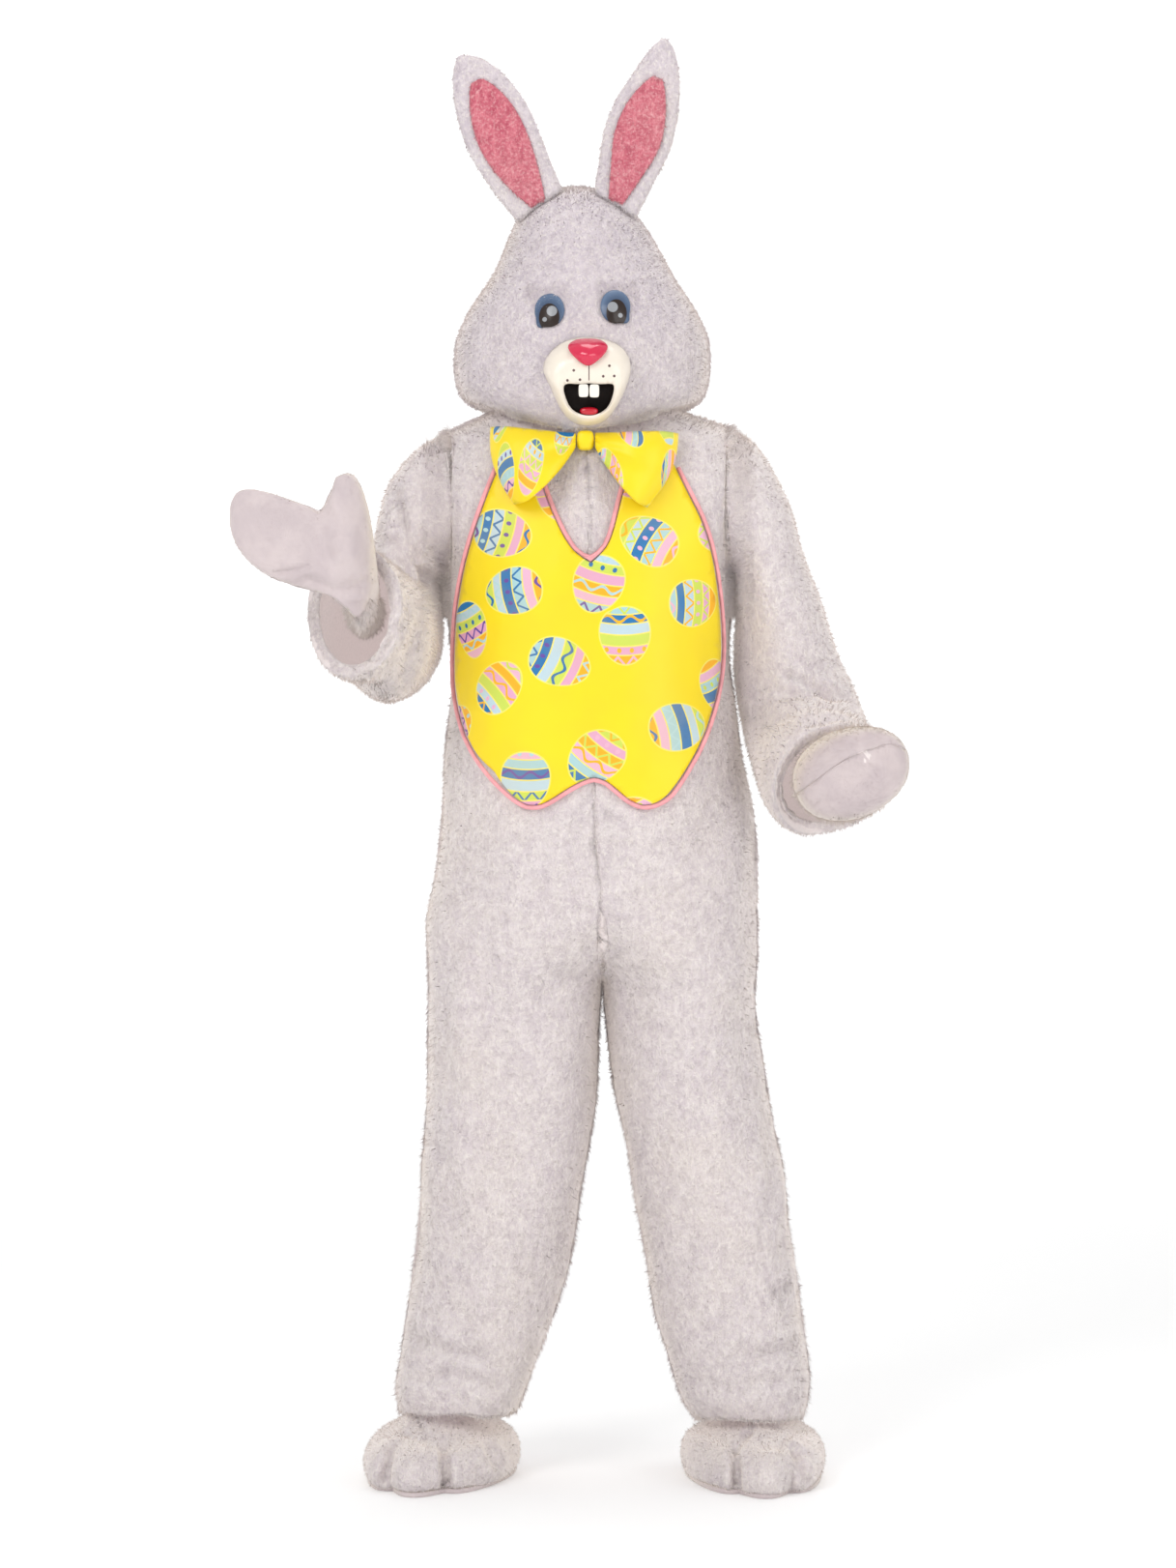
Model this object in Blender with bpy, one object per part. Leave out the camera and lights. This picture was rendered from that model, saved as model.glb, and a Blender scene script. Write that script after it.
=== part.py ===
# A worn bunny costume: a white plush one-piece suit with set-in sleeves, a printed
# waistcoat front edged with satin piping, a bow tie, a hollow plush head with stuffed
# ears and a moulded face, two mitts and two shoe covers with padded toes.
#
# Metres, +Z up. The front faces -Y, and "right" and "left" are the costume's own, so
# the right side is at -X. The origin is between the shoulders, where the suit hangs.

import math
from collections import namedtuple

import bmesh
import bpy
import numpy as np
from mathutils import Vector
from mathutils.bvhtree import BVHTree

COLLECTION_NAME = "bunny_costume"

# Cloth and wall thicknesses.
PLUSH = 0.004
HEM_PLUSH = 0.007
NAP = 0.0025
SATIN = 0.0016
HEAD_WALL = 0.008
PLASTIC = 0.0018

# Half the gap at a seam, and the gap left where one piece rests on another.
SEAM_PULL = 0.0002
REST_GAP = 0.0005

# Where a piece starts before it is moved back against what carries it.
CLEARANCE = 0.004
BACKWARD = (0, 1, 0)

# The floor under the shoe covers.
FLOOR_Z = -1.460

FRONT, BACK = -1, 1
RIGHT, LEFT = -1, 1
SIDE_NAMES = {RIGHT: "right", LEFT: "left"}

Finish = namedtuple("Finish", "name colour roughness")
WHITE_PLUSH = Finish("white_plush", (0.84, 0.82, 0.86), 0.95)
WHITE_NAP = Finish("white_nap", (0.80, 0.77, 0.81), 0.9)
PINK_PLUSH = Finish("pink_plush", (0.87, 0.36, 0.42), 0.95)
YELLOW_SATIN = Finish("yellow_satin", (0.93, 0.76, 0.04), 0.45)
PINK_SATIN = Finish("pink_satin", (0.93, 0.52, 0.56), 0.4)
CREAM_PLASTIC = Finish("cream_plastic", (0.90, 0.85, 0.76), 0.3)
WHITE_PLASTIC = Finish("white_plastic", (0.93, 0.92, 0.88), 0.25)
RED_PLASTIC = Finish("red_plastic", (0.80, 0.07, 0.12), 0.2)
BLACK_PLASTIC = Finish("black_plastic", (0.02, 0.017, 0.015), 0.35)
BLUE_PLASTIC = Finish("blue_plastic", (0.22, 0.29, 0.42), 0.4)


# A solid is its corner points and its faces, until it becomes an object.
class Solid:
    def __init__(self, name, points, faces, finish):
        self.name = name
        self.points = np.asarray(points, dtype=float)
        self.faces = faces
        self.finish = finish

    def surface(self):
        return BVHTree.FromPolygons([Vector(p) for p in self.points], self.faces)

    def samples(self):
        # Its corners, and places along its edges and diagonals.
        ends = {tuple(sorted((a, b))) for face in self.faces if len(face) <= 4
                for a in face for b in face if a != b}
        first, second = np.array(sorted(ends)).T
        shares = np.linspace(0, 1, 7)[:, None, None]
        points = self.points[first] * (1 - shares) + self.points[second] * shares
        return points.reshape(-1, 3)

    def moved(self, shift):
        return Solid(self.name, self.points + np.asarray(shift), self.faces, self.finish)


def outer_skin(walls):
    # Only the outer layer of some walls, whose points come first.
    points, faces, start = [], [], 0
    for piece in walls:
        half = len(piece.points) // 2
        points += [Vector(p) for p in piece.points[:half]]
        faces += [tuple(start + k for k in face) for face in piece.faces if max(face) < half]
        start += half
    return BVHTree.FromPolygons(points, faces)


def unit(vectors):
    length = np.linalg.norm(vectors, axis=-1, keepdims=True)
    return vectors / np.maximum(length, 1e-12)


def blend_rows(rows, position):
    # A smooth curve through a table's rows, read between two of them.
    last = len(rows) - 1
    start = min(int(position), last - 1)
    t = position - start
    before, here, there, after = (
        np.array(rows[min(max(start + step, 0), last)], dtype=float)
        for step in (-1, 0, 1, 2)
    )
    value = 0.5 * (
        2 * here
        + (there - before) * t
        + (2 * before - 5 * here + 4 * there - after) * t ** 2
        + (3 * here - before - 3 * there + after) * t ** 3
    )
    return type(rows[0])(*value)


def spread_rows(rows, steps):
    # steps gives how many rows to make of each stretch between two table rows.
    made = []
    for stretch, count in enumerate(steps):
        made += [blend_rows(rows, stretch + k / count) for k in range(count)]
    made.append(rows[-1])
    return made


def signed_power(value, exponent):
    return math.copysign(abs(value) ** exponent, value)


def grid_faces(rows, columns, start, closed):
    faces = []
    for i in range(rows - 1):
        for j in range(columns if closed else columns - 1):
            k = (j + 1) % columns
            faces.append((start + i * columns + j, start + i * columns + k,
                          start + (i + 1) * columns + k, start + (i + 1) * columns + j))
    return faces


def wall(name, outer, inner, finish, closed=False):
    # A cloth wall between an outer and an inner grid of points, with its rims closed.
    # Both layers are parted along the same diagonals, so the wall keeps its thickness.
    rows, columns = outer.shape[:2]
    count = rows * columns
    places = outer.reshape(-1, 3)
    faces = []
    for a, b, c, d in grid_faces(rows, columns, 0, closed):
        if np.linalg.norm(places[a] - places[c]) < np.linalg.norm(places[b] - places[d]):
            halves = ((a, b, c), (a, c, d))
        else:
            halves = ((a, b, d), (b, c, d))
        faces += halves
        faces += [tuple(count + k for k in half[::-1]) for half in halves]

    def rim(chain):
        for a, b in zip(chain, chain[1:]):
            faces.append((b, a, a + count, b + count))

    top = list(range(columns))
    bottom = list(range((rows - 1) * columns, count))
    if closed:
        rim(top + top[:1])
        rim((bottom + bottom[:1])[::-1])
    else:
        right = [i * columns + columns - 1 for i in range(rows)]
        left = [i * columns for i in range(rows)]
        rim(top)
        rim(right)
        rim(bottom[::-1])
        rim(left[::-1])
    points = np.concatenate([outer.reshape(-1, 3), inner.reshape(-1, 3)])
    return Solid(name, points, faces, finish)


def grid_normals(grid, closed, outside=None):
    # Normals of a grid of points; closed grids wrap round their columns.
    if closed:
        across = np.roll(grid, -1, axis=1) - np.roll(grid, 1, axis=1)
    else:
        across = np.gradient(grid, axis=1)
    along = np.gradient(grid, axis=0)
    normals = unit(np.cross(across, along))
    if outside is None:
        outside = grid - grid.mean(axis=1, keepdims=True)
    if (normals * outside).sum() < 0:
        normals = -normals
    return normals


def pull_in(outer, inner, rows=(), columns=(), amount=SEAM_PULL):
    # Draw a panel's edge rows or columns a little into the panel, for the seam gap.
    for i in rows:
        step = unit(outer[i + 1 if i == 0 else i - 1] - outer[i]) * amount
        outer[i] += step
        inner[i] += step
    for j in columns:
        step = unit(outer[:, j + 1 if j == 0 else j - 1] - outer[:, j]) * amount
        outer[:, j] += step
        inner[:, j] += step


def travel(moving, fixed, direction):
    # How far one solid goes in a direction before it meets another.
    way = Vector(direction).normalized()
    reach = [1.0]
    fixed_surface = fixed.surface()
    moving_surface = moving.surface()
    for point in moving.samples():
        distance = fixed_surface.ray_cast(Vector(point), way)[3]
        if distance is not None:
            reach.append(distance)
    for point in fixed.samples():
        distance = moving_surface.ray_cast(Vector(point), -way)[3]
        if distance is not None:
            reach.append(distance)
    return (min(reach) - REST_GAP) * np.array(way)


# The suit's body. Each row is a ring round the torso: its height at the side, how far
# the ring dips at the centre front, its middle, the reach of each half, its depths, and
# the share of the half width left beside the armhole (1 where there is no armhole).
TorsoRow = namedtuple("TorsoRow", "z dip middle right left front back beside")
SHOULDER_ROWS = [
    TorsoRow(0.036, 0.040, -0.002, 0.080, 0.080, 0.074, 0.068, 1.0),
    TorsoRow(0.024, 0.036, -0.002, 0.116, 0.116, 0.096, 0.088, 1.0),
    TorsoRow(0.006, 0.030, 0.000, 0.160, 0.160, 0.114, 0.102, 1.0),
    TorsoRow(-0.004, 0.027, 0.000, 0.182, 0.182, 0.121, 0.108, 1.0),
]
# The armhole: its height, how far forward and back it reaches, and how far it curves in
# toward the chest between its top and its foot.
ARMHOLE_TOP, ARMHOLE_LOW = -0.014, -0.215
ARMHOLE_REACH = {FRONT: 0.098, BACK: 0.090}
ARMHOLE_OUT = 0.199
ARMHOLE_IN = 0.012
ARMHOLE_STEPS = 10
CHEST_DEPTH = {FRONT: (0.126, 0.166), BACK: (0.112, 0.135)}
CHEST_DIP = 0.024
WAIST_ROWS = [
    TorsoRow(-0.215, 0.000, 0.002, 0.199, 0.199, 0.166, 0.135, 1.0),
    TorsoRow(-0.280, 0.000, 0.002, 0.193, 0.192, 0.167, 0.135, 1.0),
    TorsoRow(-0.350, 0.000, 0.003, 0.190, 0.189, 0.168, 0.136, 1.0),
    TorsoRow(-0.432, 0.000, 0.007, 0.201, 0.199, 0.171, 0.139, 1.0),
    TorsoRow(-0.500, 0.000, 0.011, 0.211, 0.212, 0.172, 0.143, 1.0),
    TorsoRow(-0.566, 0.000, 0.015, 0.222, 0.221, 0.170, 0.147, 1.0),
    TorsoRow(-0.640, 0.000, 0.018, 0.231, 0.219, 0.166, 0.150, 1.0),
]
TORSO_SQUARENESS = 2.3

# The rise: rows that turn under from the belly to the crotch. turn is the angle swept
# from the side seam to the crotch seam, and centre_z the height at that seam.
RiseRow = namedtuple("RiseRow", "z centre_z turn front back")
RISE_ROWS = [
    RiseRow(-0.680, -0.690, 110, 0.160, 0.150),
    RiseRow(-0.715, -0.735, 130, 0.152, 0.147),
    RiseRow(-0.745, -0.757, 155, 0.143, 0.142),
]
CROTCH_MIDDLE = 0.020
HIP_REACH = {RIGHT: 0.241, LEFT: 0.213}

# The legs: edges in X, and depths before and behind the side seam.
LegRow = namedtuple("LegRow", "z outer inner front back")
LEG_ROWS = {
    RIGHT: [
        LegRow(-0.775, -0.2210, 0.0195, 0.134, 0.137),
        LegRow(-0.834, -0.2218, 0.0140, 0.128, 0.130),
        LegRow(-0.914, -0.2225, 0.0114, 0.122, 0.122),
        LegRow(-0.994, -0.2270, 0.0020, 0.116, 0.117),
        LegRow(-1.075, -0.2325, -0.0114, 0.112, 0.113),
        LegRow(-1.155, -0.2430, -0.0248, 0.109, 0.112),
        LegRow(-1.236, -0.2510, -0.0460, 0.106, 0.111),
        LegRow(-1.289, -0.2580, -0.0663, 0.104, 0.110),
        LegRow(-1.343, -0.2700, -0.0878, 0.108, 0.110),
        LegRow(-1.374, -0.2640, -0.1000, 0.102, 0.106),
    ],
    LEFT: [
        LegRow(-0.775, 0.2315, 0.0205, 0.134, 0.137),
        LegRow(-0.834, 0.2325, 0.0248, 0.128, 0.130),
        LegRow(-0.914, 0.2446, 0.0395, 0.122, 0.122),
        LegRow(-0.994, 0.2593, 0.0516, 0.116, 0.117),
        LegRow(-1.075, 0.2727, 0.0637, 0.112, 0.113),
        LegRow(-1.155, 0.2874, 0.0784, 0.109, 0.112),
        LegRow(-1.236, 0.2995, 0.0931, 0.106, 0.111),
        LegRow(-1.289, 0.3062, 0.1092, 0.104, 0.110),
        LegRow(-1.343, 0.3075, 0.1280, 0.108, 0.110),
        LegRow(-1.382, 0.3010, 0.1500, 0.102, 0.106),
    ],
}
LEG_STEPS = (1, 1, 1, 1, 1, 1, 1, 2, 1)
LEG_SQUARENESS = 2.1
# How much higher the front of the hem lies for each metre it reaches forward.
HEM_RISE = 0.14
PANEL_COLUMNS = 7

# One row of a panel, whatever part of the suit it belongs to.
PanelRow = namedtuple("PanelRow", "z centre_z outer inner turn beside front back power")


def torso_row(row, side):
    reach = row.right if side == RIGHT else row.left
    return PanelRow(row.z, row.z - row.dip, row.middle + side * reach, row.middle, 90, 1.0,
                    row.front, row.back, TORSO_SQUARENESS)


def armhole_row(step, side, face):
    # A row that stops at the armhole. Its reach is what puts that stop on the armhole.
    angle = math.pi * step / ARMHOLE_STEPS
    share = (1 - math.cos(angle)) / 2
    z = ARMHOLE_TOP + (ARMHOLE_LOW - ARMHOLE_TOP) * share
    depths = {}
    for each in (FRONT, BACK):
        shallow, deep = CHEST_DEPTH[each]
        depths[each] = shallow + (deep - shallow) * share ** 0.7
    forward = ARMHOLE_REACH[face] * math.sin(angle) / depths[face]
    beside = math.cos(math.asin(forward ** (TORSO_SQUARENESS / 2))) ** (2 / TORSO_SQUARENESS)
    reach = (ARMHOLE_OUT - ARMHOLE_IN * math.sin(angle)) / beside
    middle = 0.002 * share
    return PanelRow(z, z - CHEST_DIP * (1 - share) ** 2, middle + side * reach, middle, 90,
                    beside, depths[FRONT], depths[BACK], TORSO_SQUARENESS)


def panel_rows(side, face):
    rows = [torso_row(row, side) for row in SHOULDER_ROWS]
    rows += [armhole_row(step, side, face) for step in range(ARMHOLE_STEPS + 1)]
    rows += [torso_row(row, side) for row in WAIST_ROWS[1:]]
    hip = CROTCH_MIDDLE + side * HIP_REACH[side]
    for row in RISE_ROWS:
        rows.append(PanelRow(row.z, row.centre_z, hip, CROTCH_MIDDLE, row.turn, 1.0,
                             row.front, row.back, LEG_SQUARENESS))
    for row in spread_rows(LEG_ROWS[side], LEG_STEPS):
        rows.append(PanelRow(row.z, row.z, row.outer, row.inner, 180, 1.0,
                             row.front, row.back, LEG_SQUARENESS))
    return rows


ARMHOLE_START = len(SHOULDER_ROWS)
ARMHOLE_END = ARMHOLE_START + ARMHOLE_STEPS


def panel_points(side, face):
    # Rows from the centre seam (or the inseam) round to the side seam or the armhole.
    rows = panel_rows(side, face)
    grid = np.zeros((len(rows), PANEL_COLUMNS + 1, 3))
    for i, row in enumerate(rows):
        power = 2 / row.power
        overlap = abs(math.cos(math.radians(row.turn))) ** power if row.turn > 90 else 0.0
        half = abs(row.outer - row.inner) / (1 + overlap)
        middle = row.inner + side * half * overlap
        depth = row.front if face == FRONT else row.back
        dip = (row.centre_z - row.z) * (1.0 if face == FRONT or row.turn > 90 else 0.3)
        first = math.acos(min(row.beside, 1.0) ** (1 / power))
        for j in range(PANEL_COLUMNS + 1):
            share = j / PANEL_COLUMNS
            angle = math.radians(row.turn) * (1 - share) + first * share
            grid[i, j] = (
                middle + side * half * signed_power(math.cos(angle), power),
                face * depth * abs(math.sin(angle)) ** power,
                row.z + dip * (1 - share) ** 2,
            )
    # The hem rises a little at the front over the instep.
    if face == FRONT:
        grid[-1, :, 2] -= HEM_RISE * grid[-1, :, 1]
    return grid


def panel_normals(side, grids):
    # Both panels of one half share their normals where they meet.
    rows = grids[FRONT].shape[0]
    last = PANEL_COLUMNS
    table = panel_rows(side, FRONT)
    normals = {}
    for face in (FRONT, BACK):
        grid, other = grids[face], grids[-face]
        across = np.gradient(grid, axis=1)
        for i in range(rows):
            if table[i].turn == 90:
                across[i, 0] = (side, 0, 0)
            if table[i].turn == 180:
                across[i, 0] = grid[i, 1] - other[i, 1]
            if not ARMHOLE_START < i < ARMHOLE_END:
                across[i, last] = other[i, last - 1] - grid[i, last - 1]
        along = np.gradient(grid, axis=0)
        normal = unit(np.cross(across, along))
        outside = np.zeros_like(grid)
        outside[:, :, 0] = grid[:, :, 0] - grid[:, :, 0].mean(axis=1, keepdims=True)
        outside[:, :, 1] = grid[:, :, 1]
        if (normal * outside).sum() < 0:
            normal = -normal
        normals[face] = normal
    for i in range(rows):
        if not ARMHOLE_START < i < ARMHOLE_END:
            shared = unit(normals[FRONT][i, last] + normals[BACK][i, last])
            normals[FRONT][i, last] = normals[BACK][i, last] = shared
        if table[i].turn == 180:
            shared = unit(normals[FRONT][i, 0] + normals[BACK][i, 0])
            normals[FRONT][i, 0] = normals[BACK][i, 0] = shared
    return normals


# The sleeves. Each row is a ring: its centre, the half diameter toward the outside of
# the arm, and the half diameter toward the front of the arm.
SleeveRow = namedtuple("SleeveRow", "x y z out_x out_y out_z front_x front_y front_z")
SLEEVE_ROWS = {
    RIGHT: [
        SleeveRow(-0.2245, 0.000, -0.1300, -0.0185, 0.000, 0.094, 0.0, -0.098, 0.000),
        SleeveRow(-0.2410, 0.000, -0.1600, -0.0350, 0.000, 0.080, 0.0, -0.102, 0.005),
        SleeveRow(-0.2490, -0.003, -0.2060, -0.0470, 0.000, 0.056, 0.0, -0.098, 0.022),
        SleeveRow(-0.2525, -0.012, -0.2550, -0.0525, 0.000, 0.030, 0.0, -0.090, 0.058),
        SleeveRow(-0.2560, -0.040, -0.2900, -0.0580, 0.000, 0.008, 0.0, -0.066, 0.082),
        SleeveRow(-0.2640, -0.085, -0.3000, -0.0630, 0.000, 0.000, 0.0, -0.026, 0.088),
        SleeveRow(-0.2740, -0.135, -0.2920, -0.0660, 0.010, 0.000, 0.0, 0.010, 0.082),
        SleeveRow(-0.2880, -0.175, -0.2800, -0.0640, 0.022, 0.000, 0.0, 0.018, 0.082),
        SleeveRow(-0.3020, -0.210, -0.2700, -0.0660, 0.040, 0.000, 0.0, 0.020, 0.090),
        SleeveRow(-0.3120, -0.238, -0.2630, -0.0640, 0.046, 0.000, 0.0, 0.015, 0.089),
    ],
    LEFT: [
        SleeveRow(0.2255, 0.000, -0.1300, 0.0175, 0.000, 0.096, 0.0, -0.100, 0.000),
        SleeveRow(0.2420, 0.000, -0.1780, 0.0340, 0.000, 0.068, 0.0, -0.100, 0.000),
        SleeveRow(0.2560, 0.000, -0.2425, 0.0503, 0.000, 0.0375, 0.0, -0.098, 0.005),
        SleeveRow(0.2700, 0.000, -0.3075, 0.0665, 0.000, 0.0175, 0.0, -0.094, 0.012),
        SleeveRow(0.2860, -0.003, -0.3700, 0.0755, 0.000, 0.0115, 0.0, -0.088, 0.025),
        SleeveRow(0.2970, -0.018, -0.4120, 0.0820, 0.000, 0.0120, 0.0, -0.078, 0.045),
        SleeveRow(0.3060, -0.052, -0.4420, 0.0870, 0.005, 0.0120, 0.0, -0.062, 0.060),
        SleeveRow(0.3140, -0.092, -0.4620, 0.0880, 0.012, 0.0120, 0.0, -0.040, 0.072),
        SleeveRow(0.3230, -0.128, -0.4760, 0.0880, 0.022, 0.0100, 0.0, -0.026, 0.080),
        SleeveRow(0.3320, -0.160, -0.4870, 0.0800, 0.028, 0.0100, 0.0, -0.024, 0.075),
    ],
}
SLEEVE_STEPS = (1, 1, 1, 1, 1, 1, 1, 2, 2)
CUFF_ROLL = (0.007, 0.015, 0.016)


ARMHOLE_EDGE = [(i, FRONT) for i in range(ARMHOLE_START, ARMHOLE_END + 1)]
ARMHOLE_EDGE += [(i, BACK) for i in range(ARMHOLE_END - 1, ARMHOLE_START, -1)]


def sleeve_rings(side, armhole):
    count = len(armhole)
    rings = [armhole]
    for row in spread_rows(SLEEVE_ROWS[side], SLEEVE_STEPS):
        centre, out, front = np.array(row[0:3]), np.array(row[3:6]), np.array(row[6:9])
        turns = [2 * math.pi * k / count for k in range(count)]
        rings.append(np.array([
            centre + out * math.cos(a) + front * math.sin(a) for a in turns]))
    return np.array(rings)


def suit_half(side):
    # The two panels and the sleeve of one half, which share their normals at each seam.
    grids = {face: panel_points(side, face) for face in (FRONT, BACK)}
    normals = panel_normals(side, grids)
    armhole = np.array([grids[face][i, PANEL_COLUMNS] for i, face in ARMHOLE_EDGE])
    tube = sleeve_rings(side, armhole)
    tube_normal = grid_normals(tube, closed=True)
    panel_side = np.array([normals[face][i, PANEL_COLUMNS] for i, face in ARMHOLE_EDGE])
    shared = unit(panel_side + tube_normal[0])
    tube_normal[0] = shared
    tangent = unit(np.roll(armhole, -1, axis=0) - np.roll(armhole, 1, axis=0))
    away = unit(np.cross(tangent, shared))
    if (away * (side, 0, 0)).sum() < 0:
        away = -away
    thickness = np.full(len(tube), PLUSH)
    thickness[-len(CUFF_ROLL):] = CUFF_ROLL
    inner = tube - tube_normal * thickness[:, None, None]
    tube[0] += away * SEAM_PULL
    inner[0] += away * SEAM_PULL
    solids = [wall(f"sleeve_{SIDE_NAMES[side]}", tube, inner, WHITE_PLUSH, closed=True)]

    for face, word in ((FRONT, "front"), (BACK, "back")):
        pulls = {}
        for k, (i, where) in enumerate(ARMHOLE_EDGE):
            if where == face or i in (ARMHOLE_START, ARMHOLE_END):
                normals[face][i, PANEL_COLUMNS] = shared[k]
                pulls[i] = -away[k] * SEAM_PULL
        thickness = np.full(grids[face].shape[0], PLUSH)
        thickness[-2:] = HEM_PLUSH
        outer = grids[face].copy()
        inner = outer - normals[face] * thickness[:, None, None]
        pull_in(outer, inner, columns=(0, PANEL_COLUMNS))
        for i, pull in pulls.items():
            outer[i, PANEL_COLUMNS] = grids[face][i, PANEL_COLUMNS] + pull
            inner[i, PANEL_COLUMNS] = outer[i, PANEL_COLUMNS] - (
                normals[face][i, PANEL_COLUMNS] * PLUSH)
            if i in (ARMHOLE_START, ARMHOLE_END):
                apart = np.array((0, face * SEAM_PULL, 0))
                outer[i, PANEL_COLUMNS] += apart
                inner[i, PANEL_COLUMNS] += apart
        solids.append(wall(f"{word}_{SIDE_NAMES[side]}", outer, inner, WHITE_PLUSH))
    return solids


# The head: rings from the open neck to the crown. side_lift raises a ring at the
# sides, where the head sits over the shoulders.
HeadRow = namedtuple("HeadRow", "z side_lift middle half front back")
HEAD_ROWS = [
    HeadRow(-0.004, 0.045, -0.008, 0.114, 0.118, 0.108),
    HeadRow(-0.020, 0.036, -0.008, 0.138, 0.140, 0.126),
    HeadRow(-0.004, 0.022, -0.008, 0.160, 0.158, 0.142),
    HeadRow(0.030, 0.006, -0.008, 0.1735, 0.171, 0.152),
    HeadRow(0.068, 0.000, -0.008, 0.1775, 0.174, 0.158),
    HeadRow(0.106, 0.000, -0.008, 0.1760, 0.170, 0.160),
    HeadRow(0.149, 0.000, -0.009, 0.1580, 0.158, 0.155),
    HeadRow(0.197, 0.000, -0.010, 0.1210, 0.140, 0.142),
    HeadRow(0.230, 0.000, -0.011, 0.1050, 0.122, 0.128),
    HeadRow(0.260, 0.000, -0.013, 0.0920, 0.102, 0.110),
    HeadRow(0.288, 0.000, -0.014, 0.0740, 0.078, 0.086),
    HeadRow(0.307, 0.000, -0.015, 0.0500, 0.050, 0.056),
    HeadRow(0.317, 0.000, -0.015, 0.0260, 0.022, 0.026),
    HeadRow(0.3206, 0.000, -0.015, 0.0120, 0.000, 0.000),
]
HEAD_COLUMNS = 14
HEAD_DROP = 0.080
CROWN_WALLS = (0.005, 0.003, 0.002)
HEAD_SQUARENESS = 2.1


def head_points(face):
    power = 2 / HEAD_SQUARENESS
    grid = np.zeros((len(HEAD_ROWS), HEAD_COLUMNS + 1, 3))
    for i, row in enumerate(HEAD_ROWS):
        depth = row.front if face == FRONT else row.back
        for j in range(HEAD_COLUMNS + 1):
            angle = math.pi * j / HEAD_COLUMNS
            across = signed_power(math.cos(angle), power)
            grid[i, j] = (
                row.middle - row.half * across,
                face * depth * math.sin(angle) ** power,
                row.z + row.side_lift * across ** 2,
            )
    return grid


def head_panels():
    grids = {face: head_points(face) for face in (FRONT, BACK)}
    ring = np.concatenate([grids[FRONT], grids[BACK][:, -2:0:-1]], axis=1)
    normals = grid_normals(ring, closed=True)
    normals[-1] = (0, 0, 1)
    count = ring.shape[1]
    solids = {}
    for face, word in ((FRONT, "front"), (BACK, "back")):
        if face == FRONT:
            columns = list(range(HEAD_COLUMNS + 1))
        else:
            columns = [(-j) % count for j in range(HEAD_COLUMNS + 1)]
        outer = grids[face].copy()
        thickness = np.full(len(HEAD_ROWS), HEAD_WALL)
        thickness[-len(CROWN_WALLS):] = CROWN_WALLS
        inner = outer - normals[:, columns] * thickness[:, None, None]
        pull = np.array((0, face * SEAM_PULL, 0))
        for edge in (np.s_[:, 0], np.s_[:, -1], np.s_[-1, :]):
            outer[edge] += pull
            inner[edge] += pull
        solids[face] = wall(f"head_{word}", outer, inner, WHITE_PLUSH)
    return solids


# A domed piece that lies on another surface, seen from the front: its outline in X and
# Z, a rim height and a crown height. The back follows the surface it lies on.
def dome(name, outline, base, gap, rim, crown, finish, rings=3, power=2.0):
    outline = np.asarray(outline, dtype=float)
    middle = outline.mean(axis=0)
    rows = []
    heights = []
    for ring in range(rings):
        share = 1 - ring / rings
        rows.append(middle + (outline - middle) * share)
        heights.append(rim + (crown - rim) * (1 - share ** power))
    flat = np.concatenate(rows + [middle[None]])
    lift = np.concatenate([np.full(len(outline), h) for h in heights] + [[crown]])
    back, front = [], []
    for (x, z), height in zip(flat, lift):
        y = front_of(base, x, z)
        back.append((x, y - gap, z))
        front.append((x, y - gap - height, z))
    count = len(outline)
    total = len(flat)
    faces = []
    for start, flip in ((0, True), (total, False)):
        for ring in range(rings - 1):
            for j in range(count):
                k = (j + 1) % count
                a = start + ring * count
                b = a + count
                face = (a + j, a + k, b + k, b + j)
                faces.append(face[::-1] if flip else face)
        a = start + (rings - 1) * count
        for j in range(count):
            face = (a + j, a + (j + 1) % count, start + total - 1)
            faces.append(face[::-1] if flip else face)
    for j in range(count):
        k = (j + 1) % count
        faces.append((j, k, total + k, total + j))
    return Solid(name, back + front, faces, finish)


def front_of(base, x, z):
    # The Y of the foremost surface at a place seen from the front.
    hit = base.ray_cast(Vector((x, -1.0, z)), Vector((0, 1, 0)))[0]
    if hit is None:
        hit = base.find_nearest(Vector((x, -0.15, z)))[0]
    return hit.y


def round_outline(points, count):
    # A closed smooth curve through named corners, read at even steps.
    total = len(points)
    made = []
    for k in range(count):
        position = k * total / count
        start = int(position)
        t = position - start
        before, here, there, after = (
            np.array(points[(start + step) % total], dtype=float) for step in (-1, 0, 1, 2))
        made.append(0.5 * (2 * here + (there - before) * t
                           + (2 * before - 5 * here + 4 * there - after) * t ** 2
                           + (3 * here - before - 3 * there + after) * t ** 3))
    return np.array(made)


# The face. Outlines run clockwise as seen from the front, in X and Z.
EYE_HALF_WIDTH = 0.0205
EYE_HALF_HEIGHT = 0.0235
EYE_CENTRES = {RIGHT: (-0.0518, 0.1430), LEFT: (0.0370, 0.1480)}
EYE_COLUMNS = 20
EYE_RIM, EYE_CROWN = 0.003, 0.008
MUZZLE_OUTLINE = [
    (0.000, 0.106), (0.026, 0.103), (0.050, 0.090), (0.0585, 0.066), (0.053, 0.043),
    (0.042, 0.018), (0.024, -0.005), (0.000, -0.012), (-0.024, -0.006), (-0.040, 0.015),
    (-0.052, 0.043), (-0.0620, 0.064), (-0.050, 0.088), (-0.026, 0.103),
]
MOUTH_OUTLINE = [
    (0.001, 0.0425), (0.015, 0.041), (0.030, 0.042), (0.035, 0.039), (0.033, 0.026),
    (0.027, 0.012), (0.015, 0.003), (0.001, 0.000), (-0.013, 0.003), (-0.024, 0.011),
    (-0.030, 0.024), (-0.033, 0.037), (-0.028, 0.042), (-0.013, 0.041),
]
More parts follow.
